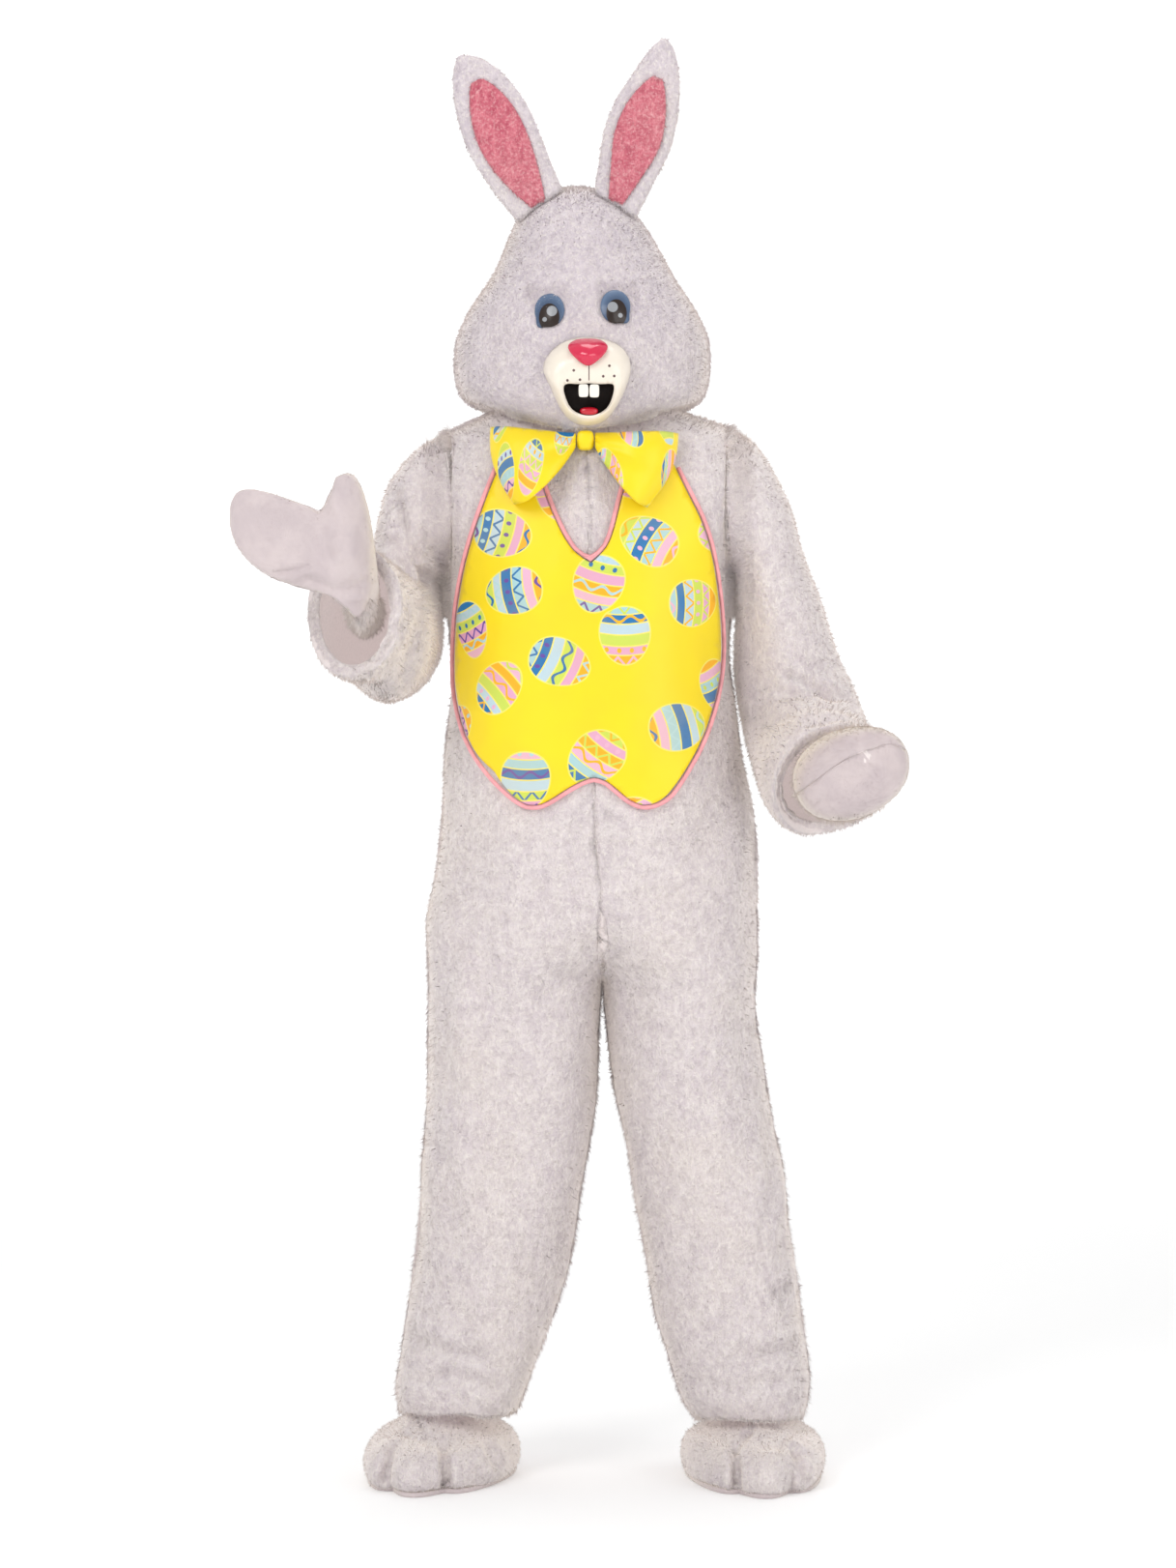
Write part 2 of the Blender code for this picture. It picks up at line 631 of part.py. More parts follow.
MUZZLE_COLUMNS = 24
# share is the way from the outer edge to the mouth, and lift the part of the full
# height there. The full height is greater over the puffs than at the lower jaw.
MuzzleRow = namedtuple("MuzzleRow", "share lift")
MUZZLE_ROWS = [
    MuzzleRow(0.00, 0.10), MuzzleRow(0.16, 0.60), MuzzleRow(0.42, 0.92),
    MuzzleRow(0.74, 1.00), MuzzleRow(1.00, 0.86),
]
PUFF_HEIGHT = 0.036
JAW_HEIGHT = 0.026
JAW_Z, PUFF_Z = 0.010, 0.050
NOSE_OUTLINE = [
    (0.000, 0.1035), (0.016, 0.102), (0.0262, 0.094), (0.024, 0.083), (0.010, 0.069),
    (0.000, 0.0645), (-0.010, 0.069), (-0.024, 0.083), (-0.0268, 0.094), (-0.016, 0.102),
]
NOSE_RIM, NOSE_CROWN = 0.004, 0.014
TOOTH_SIZE = (0.0136, 0.0045, 0.0180)
TOOTH_Z = 0.0300
TOOTH_GAP = 0.0004
TONGUE_SIZE = (0.026, 0.012, 0.011)
TONGUE_Z = 0.0105
MOUTH_MIDDLE = 0.0012


def muzzle(head):
    outside = round_outline(MUZZLE_OUTLINE, MUZZLE_COLUMNS)
    mouth = round_outline(MOUTH_OUTLINE, MUZZLE_COLUMNS)
    outer = np.zeros((len(MUZZLE_ROWS), MUZZLE_COLUMNS, 3))
    for i, row in enumerate(MUZZLE_ROWS):
        flat = outside * (1 - row.share) + mouth * row.share
        for j, (x, z) in enumerate(flat):
            share = min(max((z - JAW_Z) / (PUFF_Z - JAW_Z), 0), 1)
            height = (JAW_HEIGHT + (PUFF_HEIGHT - JAW_HEIGHT) * share) * row.lift
            outer[i, j] = (x, front_of(head, x, z) - height - CLEARANCE, z)
    middle = outside.mean(axis=0)
    away = outer - np.array((middle[0], -0.10, middle[1]))
    normal = grid_normals(outer, closed=True, outside=away)
    inner = outer - normal * PLASTIC
    # The wall's edge against the head is square to it.
    inward = unit(middle - outside)
    inner[0] = outer[0]
    inner[0, :, 0] += inward[:, 0] * PLASTIC
    inner[0, :, 2] += inward[:, 1] * PLASTIC
    outer[0, :, 1] += CLEARANCE / 2
    inner[0, :, 1] += CLEARANCE / 2
    return wall("muzzle", outer, inner, CREAM_PLASTIC, closed=True), inner[-1]


def mouth_lining(edge):
    # A bowl behind the lips: its rim lies against the muzzle's inside.
    middle = edge.mean(axis=0)
    # spread is the size beside the mouth's own, and depth the way back from the lips.
    rows = ((1.00, 0.0008), (0.97, 0.0100), (0.72, 0.0165), (0.36, 0.0180))
    front = np.array([
        middle + (edge - middle) * spread + np.array((0, depth, 0)) for spread, depth in rows])
    centre = middle + np.array((0, rows[-1][1], 0))
    count = edge.shape[0]
    back = front + np.array((0, 0.0018, 0))
    points = list(front.reshape(-1, 3)) + [centre]
    points += list(back.reshape(-1, 3)) + [centre + np.array((0, 0.0018, 0))]
    total = front.size // 3 + 1
    faces = []
    for start in (0, total):
        faces += grid_faces(len(rows), count, start, closed=True)
        a = start + (len(rows) - 1) * count
        faces += [(a + j, a + (j + 1) % count, start + total - 1) for j in range(count)]
    faces += [(j, (j + 1) % count, total + (j + 1) % count, total + j) for j in range(count)]
    return Solid("mouth_lining", points, faces, BLACK_PLASTIC)


# The ears: sections up each ear, as seen from the front, with half width, half
# thickness and how far the front is hollowed.
EarRow = namedtuple("EarRow", "x y z half thick hollow")
EAR_ROWS = {
    RIGHT: [
        EarRow(-0.0620, -0.034, 0.2860, 0.0350, 0.016, 0.000),
        EarRow(-0.0891, -0.016, 0.3335, 0.0460, 0.017, 0.005),
        EarRow(-0.1159, -0.004, 0.3851, 0.0525, 0.017, 0.007),
        EarRow(-0.1347, 0.000, 0.4300, 0.0495, 0.016, 0.006),
        EarRow(-0.1541, 0.000, 0.4688, 0.0386, 0.014, 0.004),
        EarRow(-0.1700, 0.000, 0.4930, 0.0220, 0.010, 0.000),
        EarRow(-0.1780, 0.000, 0.5040, 0.0060, 0.005, 0.000),
    ],
    LEFT: [
        EarRow(0.0335, -0.034, 0.2860, 0.0320, 0.016, 0.000),
        EarRow(0.0523, -0.016, 0.3409, 0.0415, 0.017, 0.005),
        EarRow(0.0670, -0.004, 0.3857, 0.0503, 0.017, 0.007),
        EarRow(0.0811, 0.000, 0.4326, 0.0470, 0.016, 0.006),
        EarRow(0.0958, 0.000, 0.4728, 0.0342, 0.014, 0.004),
        EarRow(0.1030, 0.000, 0.5080, 0.0220, 0.010, 0.000),
        EarRow(0.1065, 0.000, 0.5280, 0.0060, 0.005, 0.000),
    ],
}
EAR_COLUMNS = 16
EAR_GAP = 0.0035
EAR_PINK_REACH = 0.66
EAR_PINK_FROM, EAR_PINK_TO = 0.30, 4.00
EAR_PINK_WALL = 0.003


def ear_frames(rows):
    centres = np.array([(row.x, row.y, row.z) for row in rows])
    along = unit(np.gradient(centres, axis=0))
    across = np.cross(along, (0.0, 1.0, 0.0))
    return centres, along, across


def ear_front(row, share):
    # How far in front of the ear's middle its face lies, at a share of the half width.
    return row.thick * math.sqrt(max(0.0, 1 - share ** 2)) - row.hollow * (1 - share ** 2) ** 2


def ear(side, head):
    rows = EAR_ROWS[side]
    centres, along, across = ear_frames(rows)
    grid = np.zeros((len(rows), EAR_COLUMNS, 3))
    for i, row in enumerate(rows):
        for j in range(EAR_COLUMNS):
            angle = 2 * math.pi * j / EAR_COLUMNS
            share = math.cos(angle)
            if math.sin(angle) > 0:
                y = -ear_front(row, share)
            else:
                y = -row.thick * math.sin(angle)
            grid[i, j] = centres[i] + across[i] * row.half * share + np.array((0, y, 0))
    # The foot of the ear follows the head under it.
    foot_rings = [grid[0] * s + centres[0] * (1 - s) for s in (1.0, 0.5)]
    foot_rings.append(centres[0][None])
    feet = []
    for ring in foot_rings:
        for point in ring:
            place, facing = head.find_nearest(Vector(point))[:2]
            if facing.z < 0:
                facing = -facing
            feet.append(np.array(place + facing * EAR_GAP))
    count = EAR_COLUMNS
    points = feet + list(grid[1:].reshape(-1, 3)) + [centres[-1] + along[-1] * 0.003]
    faces = [(j, (j + 1) % count, count + (j + 1) % count, count + j) for j in range(count)]
    faces += [(count + j, count + (j + 1) % count, 2 * count) for j in range(count)]
    body = 2 * count + 1
    faces += [(j, (j + 1) % count, body + (j + 1) % count, body + j) for j in range(count)]
    faces += grid_faces(len(rows) - 1, count, body, closed=True)
    top = body + (len(rows) - 2) * count
    faces += [(top + j, top + (j + 1) % count, len(points) - 1) for j in range(count)]
    return Solid(f"ear_{SIDE_NAMES[side]}", points, faces, WHITE_PLUSH), -along[0]


def ear_lining(side, ear_surface):
    rows = EAR_ROWS[side]
    length, columns = 9, 6
    positions = [EAR_PINK_FROM + (EAR_PINK_TO - EAR_PINK_FROM) * k / length
                 for k in range(length + 1)]
    table = [blend_rows(rows, p) for p in positions]
    centres, _, across = ear_frames(table)
    front = np.zeros((length + 1, columns + 1, 3))
    for i, row in enumerate(table):
        taper = math.sin(math.pi * (0.06 + 0.91 * i / length)) ** 0.45
        for j in range(columns + 1):
            share = (2 * j / columns - 1) * EAR_PINK_REACH * taper
            point = centres[i] + across[i] * row.half * share
            y = front_of(ear_surface, point[0], point[2])
            front[i, j] = (point[0], y, point[2])
    gap = np.array((0, -CLEARANCE, 0))
    face = np.array((0, -EAR_PINK_WALL, 0))
    return wall(f"ear_lining_{SIDE_NAMES[side]}", front + gap + face, front + gap,
                PINK_PLUSH)


# The bib, as seen from the front, in X and Z. The outline runs from the strap down
# each side; the neck is a V and the lower edge has a notch.
BIB_SIDE = {
    RIGHT: [(-0.105, -0.0300), (-0.1297, -0.080), (-0.1610, -0.1725), (-0.1765, -0.2521),
            (-0.1805, -0.3121), (-0.1800, -0.372), (-0.1620, -0.4437), (-0.1284, -0.4914)],
    LEFT: [(0.1063, -0.0300), (0.1250, -0.0761), (0.1572, -0.1399), (0.1735, -0.2117),
           (0.1815, -0.3121), (0.1730, -0.3838), (0.1500, -0.4516), (0.1115, -0.5154)],
}
BIB_NECK = [(-0.0789, -0.0340), (-0.0580, -0.1035), (-0.028, -0.1686), (-0.002, -0.1947),
            (0.028, -0.1725), (0.0456, -0.1074), (0.0697, -0.0340)]
BIB_HEM = [(-0.088, -0.5272), (-0.0606, -0.5272), (-0.0319, -0.5076), (0.0078, -0.4881),
           (0.028, -0.4959), (0.0593, -0.5233), (0.0841, -0.5298)]
# The tables are places at the body's middle; the bib lies nearer the viewer than that.
BIB_NEARER = 0.975
BIB_NEARER_FROM = (0.0, -0.30)
BIB_COLUMNS = 14
BIB_ROWS = 14
BIB_LIFT = 0.0058
PIPING_RADIUS = 0.0032
PIPING_GAP = 0.0006
PIPING_SIDES = 8


def curve_through(points, count):
    points = [tuple(p) for p in points]
    pair = namedtuple("Pair", "x z")
    rows = [pair(*p) for p in points]
    last = len(rows) - 1
    dense = np.array([blend_rows(rows, last * k / 200) for k in range(201)])
    lengths = np.r_[0, np.cumsum(np.linalg.norm(np.diff(dense, axis=0), axis=1))]
    wanted = np.linspace(0, lengths[-1], count + 1)
    return np.stack([np.interp(wanted, lengths, dense[:, k]) for k in (0, 1)], axis=1)


def bib_plan():
    right = curve_through(BIB_SIDE[RIGHT], BIB_ROWS)
    left = curve_through(BIB_SIDE[LEFT], BIB_ROWS)
    top = curve_through([BIB_SIDE[RIGHT][0]] + BIB_NECK + [BIB_SIDE[LEFT][0]], BIB_COLUMNS)
    hem = curve_through([BIB_SIDE[RIGHT][-1]] + BIB_HEM + [BIB_SIDE[LEFT][-1]], BIB_COLUMNS)
    plan = np.zeros((BIB_ROWS + 1, BIB_COLUMNS + 1, 2))
    for i in range(BIB_ROWS + 1):
        v = i / BIB_ROWS
        for j in range(BIB_COLUMNS + 1):
            u = j / BIB_COLUMNS
            corners = ((1 - u) * (1 - v) * top[0] + u * (1 - v) * top[-1]
                       + (1 - u) * v * hem[0] + u * v * hem[-1])
            plan[i, j] = ((1 - v) * top[j] + v * hem[j]
                          + (1 - u) * right[i] + u * left[i] - corners)
    return BIB_NEARER_FROM + (plan - BIB_NEARER_FROM) * BIB_NEARER


def on_chest(chest, x, z, lift):
    # A point moved out from the front of the suit.
    hit, normal = chest.ray_cast(Vector((x, -1.0, z)), Vector((0, 1, 0)))[:2]
    if hit is None:
        hit, normal = chest.find_nearest(Vector((x, -0.10, z)))[:2]
    if normal.y > 0:
        normal = -normal
    return np.array(hit + normal * lift)


def bib(chest):
    plan = bib_plan()
    skin = np.array([[on_chest(chest, x, z, 0.0) for x, z in row] for row in plan])
    skin[1:-1, 1:-1] = (skin[1:-1, 1:-1] * 4 + skin[:-2, 1:-1] + skin[2:, 1:-1]
                        + skin[1:-1, :-2] + skin[1:-1, 2:]) / 8
    normal = grid_normals(skin, closed=False, outside=np.full(skin.shape, (0, -1.0, 0)))
    under = skin + normal * BIB_LIFT
    return wall("bib", under + normal * SATIN, under, YELLOW_SATIN), plan


def offset_path(path, away):
    # A path moved sideways in the front view, away from a point inside.
    tangent = unit(np.gradient(path, axis=0))
    side = np.stack([-tangent[:, 1], tangent[:, 0]], axis=1)
    sign = np.sign(((path - away) * side).sum())
    return path + side * sign * (PIPING_RADIUS + PIPING_GAP)


def piping_paths(plan):
    hem = plan[-1]
    edge = np.concatenate([plan[:-1, 0], hem, plan[-2::-1, -1]])
    first, last = (int(np.argmin(np.linalg.norm(plan[0] - corner, axis=1)))
                   for corner in (BIB_NECK[0], BIB_NECK[-1]))
    neck = plan[0, first:last + 1]
    middle = np.array((0.0, -0.33))
    return {"piping_edge": offset_path(edge, middle)[1:-1],
            "piping_neck": offset_path(neck, middle)[1:-1]}


def piping(name, path, chest):
    # A round cord that follows the bib's edge, with flat ends.
    skin = np.array([on_chest(chest, x, z, 0.0) for x, z in path])
    outward = np.array([on_chest(chest, x, z, 1.0) for x, z in path]) - skin
    for _ in range(3):
        outward[1:-1] = (outward[:-2] + 2 * outward[1:-1] + outward[2:]) / 4
    outward = unit(outward)
    centres = skin + outward * (BIB_LIFT + SATIN / 2)
    beside = unit(np.cross(np.gradient(centres, axis=0), outward))
    turns = [2 * math.pi * k / PIPING_SIDES for k in range(PIPING_SIDES)]
    rings = np.stack([centres + PIPING_RADIUS * (beside * math.cos(a) + outward * math.sin(a))
                      for a in turns], axis=1)
    count = len(path)
    faces = grid_faces(count, PIPING_SIDES, 0, closed=True)
    start = (count - 1) * PIPING_SIDES
    faces.append(tuple(range(PIPING_SIDES))[::-1])
    faces.append(tuple(range(start, start + PIPING_SIDES)))
    return Solid(name, rings.reshape(-1, 3), faces, PINK_SATIN)


# The bow tie. Each loop is a band that leaves the knot, folds over at its outer end and
# comes back behind. The rows run from the knot outward.
BowRow = namedtuple("BowRow", "top_x top_z low_x low_z depth")
BOW_ROWS = {
    RIGHT: [
        BowRow(-0.0163, -0.0210, -0.0163, -0.0410, 0.0050),
        BowRow(-0.0450, -0.0190, -0.0330, -0.0660, 0.0120),
        BowRow(-0.0850, -0.0150, -0.0600, -0.0960, 0.0160),
        BowRow(-0.1180, -0.0110, -0.0850, -0.1160, 0.0130),
        BowRow(-0.1330, -0.0120, -0.1000, -0.1180, 0.0040),
    ],
    LEFT: [
        BowRow(0.0093, -0.0210, 0.0093, -0.0410, 0.0050),
        BowRow(0.0400, -0.0200, 0.0250, -0.0680, 0.0120),
        BowRow(0.0800, -0.0190, 0.0480, -0.0980, 0.0160),
        BowRow(0.1080, -0.0190, 0.0680, -0.1180, 0.0130),
        BowRow(0.1230, -0.0210, 0.0800, -0.1220, 0.0040),
    ],
}
BOW_COLUMNS = 6
BOW_PLEAT = 0.0030
BOW_PLEATS = 2
# How far the outer fold of a loop curves out between its top and its foot.
BOW_BULGE = 0.012
BOW_STAND_OFF = 0.016
KNOT_SIZE = (0.0248, 0.024, 0.028)
KNOT_AT = (-0.0035, -0.0310)
KNOT_FORWARD = 0.006


def bow_loop(side, chest):
    rows = spread_rows(BOW_ROWS[side], (2, 2, 2, 1))
    behind, before = [], []
    for i, row in enumerate(rows):
        along = i / (len(rows) - 1)
        back_line, front_line = [], []
        for j in range(BOW_COLUMNS + 1):
            share = j / BOW_COLUMNS
            x = row.top_x + (row.low_x - row.top_x) * share
            x += side * BOW_BULGE * along ** 2 * math.sin(math.pi * share)
            z = row.top_z + (row.low_z - row.top_z) * share
            y = on_chest(chest, x, z, 0.0)[1] - BOW_STAND_OFF
            pleat = BOW_PLEAT * (1 - along) * math.cos(math.pi * 2 * BOW_PLEATS * share)
            back_line.append((x, y, z))
            front_line.append((x, y - 2 * row.depth - BOW_PLEAT + pleat, z))
        behind.append(back_line)
        before.append(front_line)
    band = np.array(behind + before[::-1])
    outside = band - band.mean(axis=0, keepdims=True)
    normal = grid_normals(band, closed=False, outside=outside)
    return wall(f"bow_{SIDE_NAMES[side]}", band, band - normal * SATIN, YELLOW_SATIN)


# The mitts. The open right hand is flat, with the thumb standing up from it.
MittRow = namedtuple("MittRow", "x y low high half heading")
OPEN_MITT_ROWS = [
    MittRow(-0.298, -0.182, -0.2920, -0.2380, 0.023, 262),
    MittRow(-0.299, -0.225, -0.2920, -0.2150, 0.024, 258),
    MittRow(-0.299, -0.265, -0.2870, -0.1760, 0.025, 251),
    MittRow(-0.301, -0.291, -0.2790, -0.1040, 0.025, 238),
    MittRow(-0.3050, -0.311, -0.2720, -0.0830, 0.026, 224),
    MittRow(-0.3165, -0.328, -0.2590, -0.0810, 0.024, 204),
    MittRow(-0.3290, -0.337, -0.2480, -0.0880, 0.023, 188),
    MittRow(-0.3380, -0.338, -0.2420, -0.1150, 0.023, 180),
    MittRow(-0.3500, -0.338, -0.2380, -0.1330, 0.023, 180),
    MittRow(-0.3800, -0.340, -0.2300, -0.1200, 0.022, 180),
    MittRow(-0.4150, -0.341, -0.2190, -0.1080, 0.020, 180),
    MittRow(-0.4400, -0.342, -0.2020, -0.1030, 0.016, 180),
    MittRow(-0.4560, -0.343, -0.1830, -0.1050, 0.012, 180),
    MittRow(-0.4640, -0.343, -0.1640, -0.1160, 0.007, 180),
    MittRow(-0.4670, -0.343, -0.1500, -0.1300, 0.000, 180),
]
# The closed left hand: a round fist, wider than it is high, tilted in the front view.
FistRow = namedtuple("FistRow", "x y z wide high")
FIST_ROWS = [
    FistRow(0.334, -0.120, -0.480, 0.036, 0.032),
    FistRow(0.337, -0.160, -0.480, 0.038, 0.034),
    FistRow(0.341, -0.192, -0.480, 0.056, 0.046),
    FistRow(0.345, -0.218, -0.481, 0.075, 0.058),
    FistRow(0.350, -0.248, -0.480, 0.083, 0.063),
    FistRow(0.354, -0.280, -0.476, 0.082, 0.059),
    FistRow(0.359, -0.303, -0.467, 0.069, 0.046),
    FistRow(0.366, -0.318, -0.452, 0.044, 0.022),
    FistRow(0.368, -0.323, -0.446, 0.026, 0.000),
]
FIST_TILT = 20
MITT_COLUMNS = 7
MITT_SEAM_PULL = 0.0005
KNUCKLE_DEPTH = 0.06
OPEN_MITT_WAY = (1, 0, 0)
FIST_WAY = (0, 1, 0)


def mitt_halves(name, rings, parting):
    # rings go once round; parting is the direction that parts the two halves.
    grid = np.array(rings)
    normal = grid_normals(grid, closed=True)
    normal[-1] = unit(grid[-1].mean(axis=0) - grid[-2].mean(axis=0))
    count = grid.shape[1]
    half = count // 2
    solids = []
    for word, columns, sign in (
            ("palm", list(range(half + 1)), 1),
            ("back", [(half + k) % count for k in range(half + 1)], -1)):
        outer = grid[:, columns].copy()
        inner = outer - normal[:, columns] * NAP
        shift = parting * sign * MITT_SEAM_PULL
        for edge in (np.s_[:, 0], np.s_[:, -1]):
            outer[edge] += shift
            inner[edge] += shift
        outer[-1, 1:-1] += shift[-1]
        inner[-1, 1:-1] += shift[-1]
        solids.append(wall(f"mitt_{word}_{name}", outer, inner, WHITE_NAP))
    return solids


def open_mitt():
    rings, parting = [], []
    for row in OPEN_MITT_ROWS:
        heading = math.radians(row.heading)
        side = np.array((math.sin(heading), -math.cos(heading), 0.0))
        middle = np.array((row.x, row.y, (row.low + row.high) / 2))
        up = np.array((0, 0, (row.high - row.low) / 2))
        turns = [math.pi * k / MITT_COLUMNS for k in range(2 * MITT_COLUMNS)]
        rings.append([middle + up * math.cos(a) + side * row.half * math.sin(a)
                      for a in turns])
        parting.append(side)
    return mitt_halves("right", rings, np.array(parting))


def fist():
    tilt = math.radians(FIST_TILT)
    wide = np.array((math.cos(tilt), 0, math.sin(tilt)))
    high = np.array((-math.sin(tilt), 0, math.cos(tilt)))
    rings = []
    for row in FIST_ROWS:
        ring = []
        for k in range(2 * MITT_COLUMNS):
            a = math.pi * k / MITT_COLUMNS
            lump = 1 - KNUCKLE_DEPTH * (1 + math.cos(4 * a)) / 2
            ring.append(np.array((row.x, row.y, row.z))
                        + wide * row.wide * math.cos(a) * lump
                        + high * row.high * math.sin(a))
        rings.append(ring)
    return mitt_halves("left", rings, np.array([high] * len(rings)))


# The shoe covers. The outline of the sole has a round heel and three toes; rings rise
# from it to the open ankle.
ShoeRow = namedtuple("ShoeRow", "height size lean_y")
SHOE_ROWS = [
    ShoeRow(0.0065, 0.96, 0.000),
    ShoeRow(0.0220, 1.01, 0.000),
    ShoeRow(0.0430, 1.00, 0.002),
    ShoeRow(0.0590, 0.88, 0.008),
    ShoeRow(0.0680, 0.66, 0.018),
    ShoeRow(0.0850, 0.50, 0.026),
    ShoeRow(0.1150, 0.46, 0.028),
]
ShoePlace = namedtuple("ShoePlace", "x y half_width toe_y heel_y turn")
SHOE_PLACES = {
    RIGHT: ShoePlace(-0.199, 0.000, 0.104, -0.205, 0.118, -12),
    LEFT: ShoePlace(0.2285, 0.000, 0.099, -0.205, 0.118, 4),
}
SHOE_COLUMNS = 30
TOES = 3
TOE_SPREAD = math.radians(66)
TOE_CREASE = 0.16
SHOE_WALL = 0.005
SOLE_THICKNESS = 0.006


def shoe_outline(place, size, crease):
    # Angle 0 is the toe. Columns are closer together at the toes than at the heel.
    points = []
    for k in range(SHOE_COLUMNS):
        turn = 2 * math.pi * k / SHOE_COLUMNS
        angle = turn - 0.35 * math.sin(turn)
        swing = math.atan2(math.sin(angle), math.cos(angle))
        x = place.half_width * math.sin(swing)
        if math.cos(swing) > 0:
            y = place.toe_y * math.cos(swing)
        else:
            y = -place.heel_y * math.cos(swing)
            x *= 1 - 0.32 * math.cos(swing) ** 2
        toes = abs(swing) / TOE_SPREAD
        if toes < 1:
            phase = (swing / TOE_SPREAD + 1) / 2 * TOES
            between = 0.5 < phase < TOES - 0.5
            dent = (1 - abs(math.sin(math.pi * phase))) ** 1.5 if between else 0.0
            shrink = 1 - crease * TOE_CREASE * dent
            x *= shrink
            y *= shrink
        points.append((x * size, y * size))
    return np.array(points)


def shoe_cover(side):
    place = SHOE_PLACES[side]
    turn = math.radians(place.turn)
    spin = np.array(((math.cos(turn), -math.sin(turn)), (math.sin(turn), math.cos(turn))))
    rings = []
    for i, row in enumerate(SHOE_ROWS):
        crease = 1.0 if i < 4 else 0.4 if i == 4 else 0.0
        flat = shoe_outline(place, row.size, crease)
        flat[:, 1] += row.lean_y
        flat = flat @ spin.T + np.array((place.x, place.y))
        rings.append(np.c_[flat, np.full(SHOE_COLUMNS, FLOOR_Z + row.height)])
    outer = np.array(rings)
    normal = grid_normals(outer, closed=True)
    normal[0, :, 2] = 0
    normal[0] = unit(normal[0])
    inner = outer - normal * SHOE_WALL
    upper = wall(f"shoe_cover_{SIDE_NAMES[side]}", outer, inner, WHITE_PLUSH, closed=True)
    rim = outer[0].copy()
    rim[:, 2] = FLOOR_Z + SOLE_THICKNESS
    floor = rim.copy()
    floor[:, 2] = FLOOR_Z
    count = SHOE_COLUMNS
    faces = [tuple(range(count)), tuple(range(2 * count - 1, count - 1, -1))]
    faces += [(j, (j + 1) % count, count + (j + 1) % count, count + j) for j in range(count)]
    sole = Solid(f"shoe_sole_{SIDE_NAMES[side]}", np.concatenate([rim, floor]), faces,
                 WHITE_NAP)
    return upper, sole


def material_of(finish):
    material = bpy.data.materials.get(finish.name)
    if material is None:
        material = bpy.data.materials.new(finish.name)
        material.use_nodes = True
        shader = material.node_tree.nodes["Principled BSDF"]
        shader.inputs["Base Color"].default_value = (*finish.colour, 1.0)
        shader.inputs["Roughness"].default_value = finish.roughness
        shader.inputs["Metallic"].default_value = 0.0
    return material


def make_object(solid, collection):
    mesh = bpy.data.meshes.new(solid.name)
    mesh.from_pydata([tuple(p) for p in solid.points], [], solid.faces)
    bm = bmesh.new()
    bm.from_mesh(mesh)
    bmesh.ops.recalc_face_normals(bm, faces=bm.faces)
    if bm.calc_volume(signed=True) < 0:
        bmesh.ops.reverse_faces(bm, faces=bm.faces)
    bm.to_mesh(mesh)
    bm.free()
    mesh.shade_smooth()
    mesh.materials.append(material_of(solid.finish))
    piece = bpy.data.objects.new(solid.name, mesh)
    collection.objects.link(piece)
    return piece


def rounded_block(name, size, centre, squareness, finish):
    # A closed block with rounded edges; a greater squareness makes it boxier.
    power = 2 / squareness
    rings, columns = 6, 16
    points = []
    for i in range(1, rings):
        rise = math.pi * (i / rings - 0.5)
        reach = math.cos(rise) ** power
        for k in range(columns):
            a = 2 * math.pi * k / columns
            points.append((signed_power(math.cos(a), power) * reach,
                           signed_power(math.sin(a), power) * reach,
                           signed_power(math.sin(rise), power)))
    faces = grid_faces(rings - 1, columns, 0, closed=True)
    low, high = len(points), len(points) + 1
    points += [(0, 0, -1), (0, 0, 1)]
    last = (rings - 2) * columns
    for k in range(columns):
        after = (k + 1) % columns
        faces.append((after, k, low))
        faces.append((last + k, last + after, high))
    return Solid(name, np.array(points) * np.array(size) / 2 + np.array(centre), faces, finish)


def joined(pieces):
    points, faces, start = [], [], 0
    for piece in pieces:
        points.append(piece.points)
        faces += [tuple(start + k for k in face) for face in piece.faces]
        start += len(piece.points)
    return Solid("joined", np.concatenate(points), faces, None)


def seated(pieces, fixed, direction):
    # Move some pieces together until one of them rests on what carries them.
    shift = travel(joined(pieces), joined(fixed), direction)
    return [piece.moved(shift) for piece in pieces]


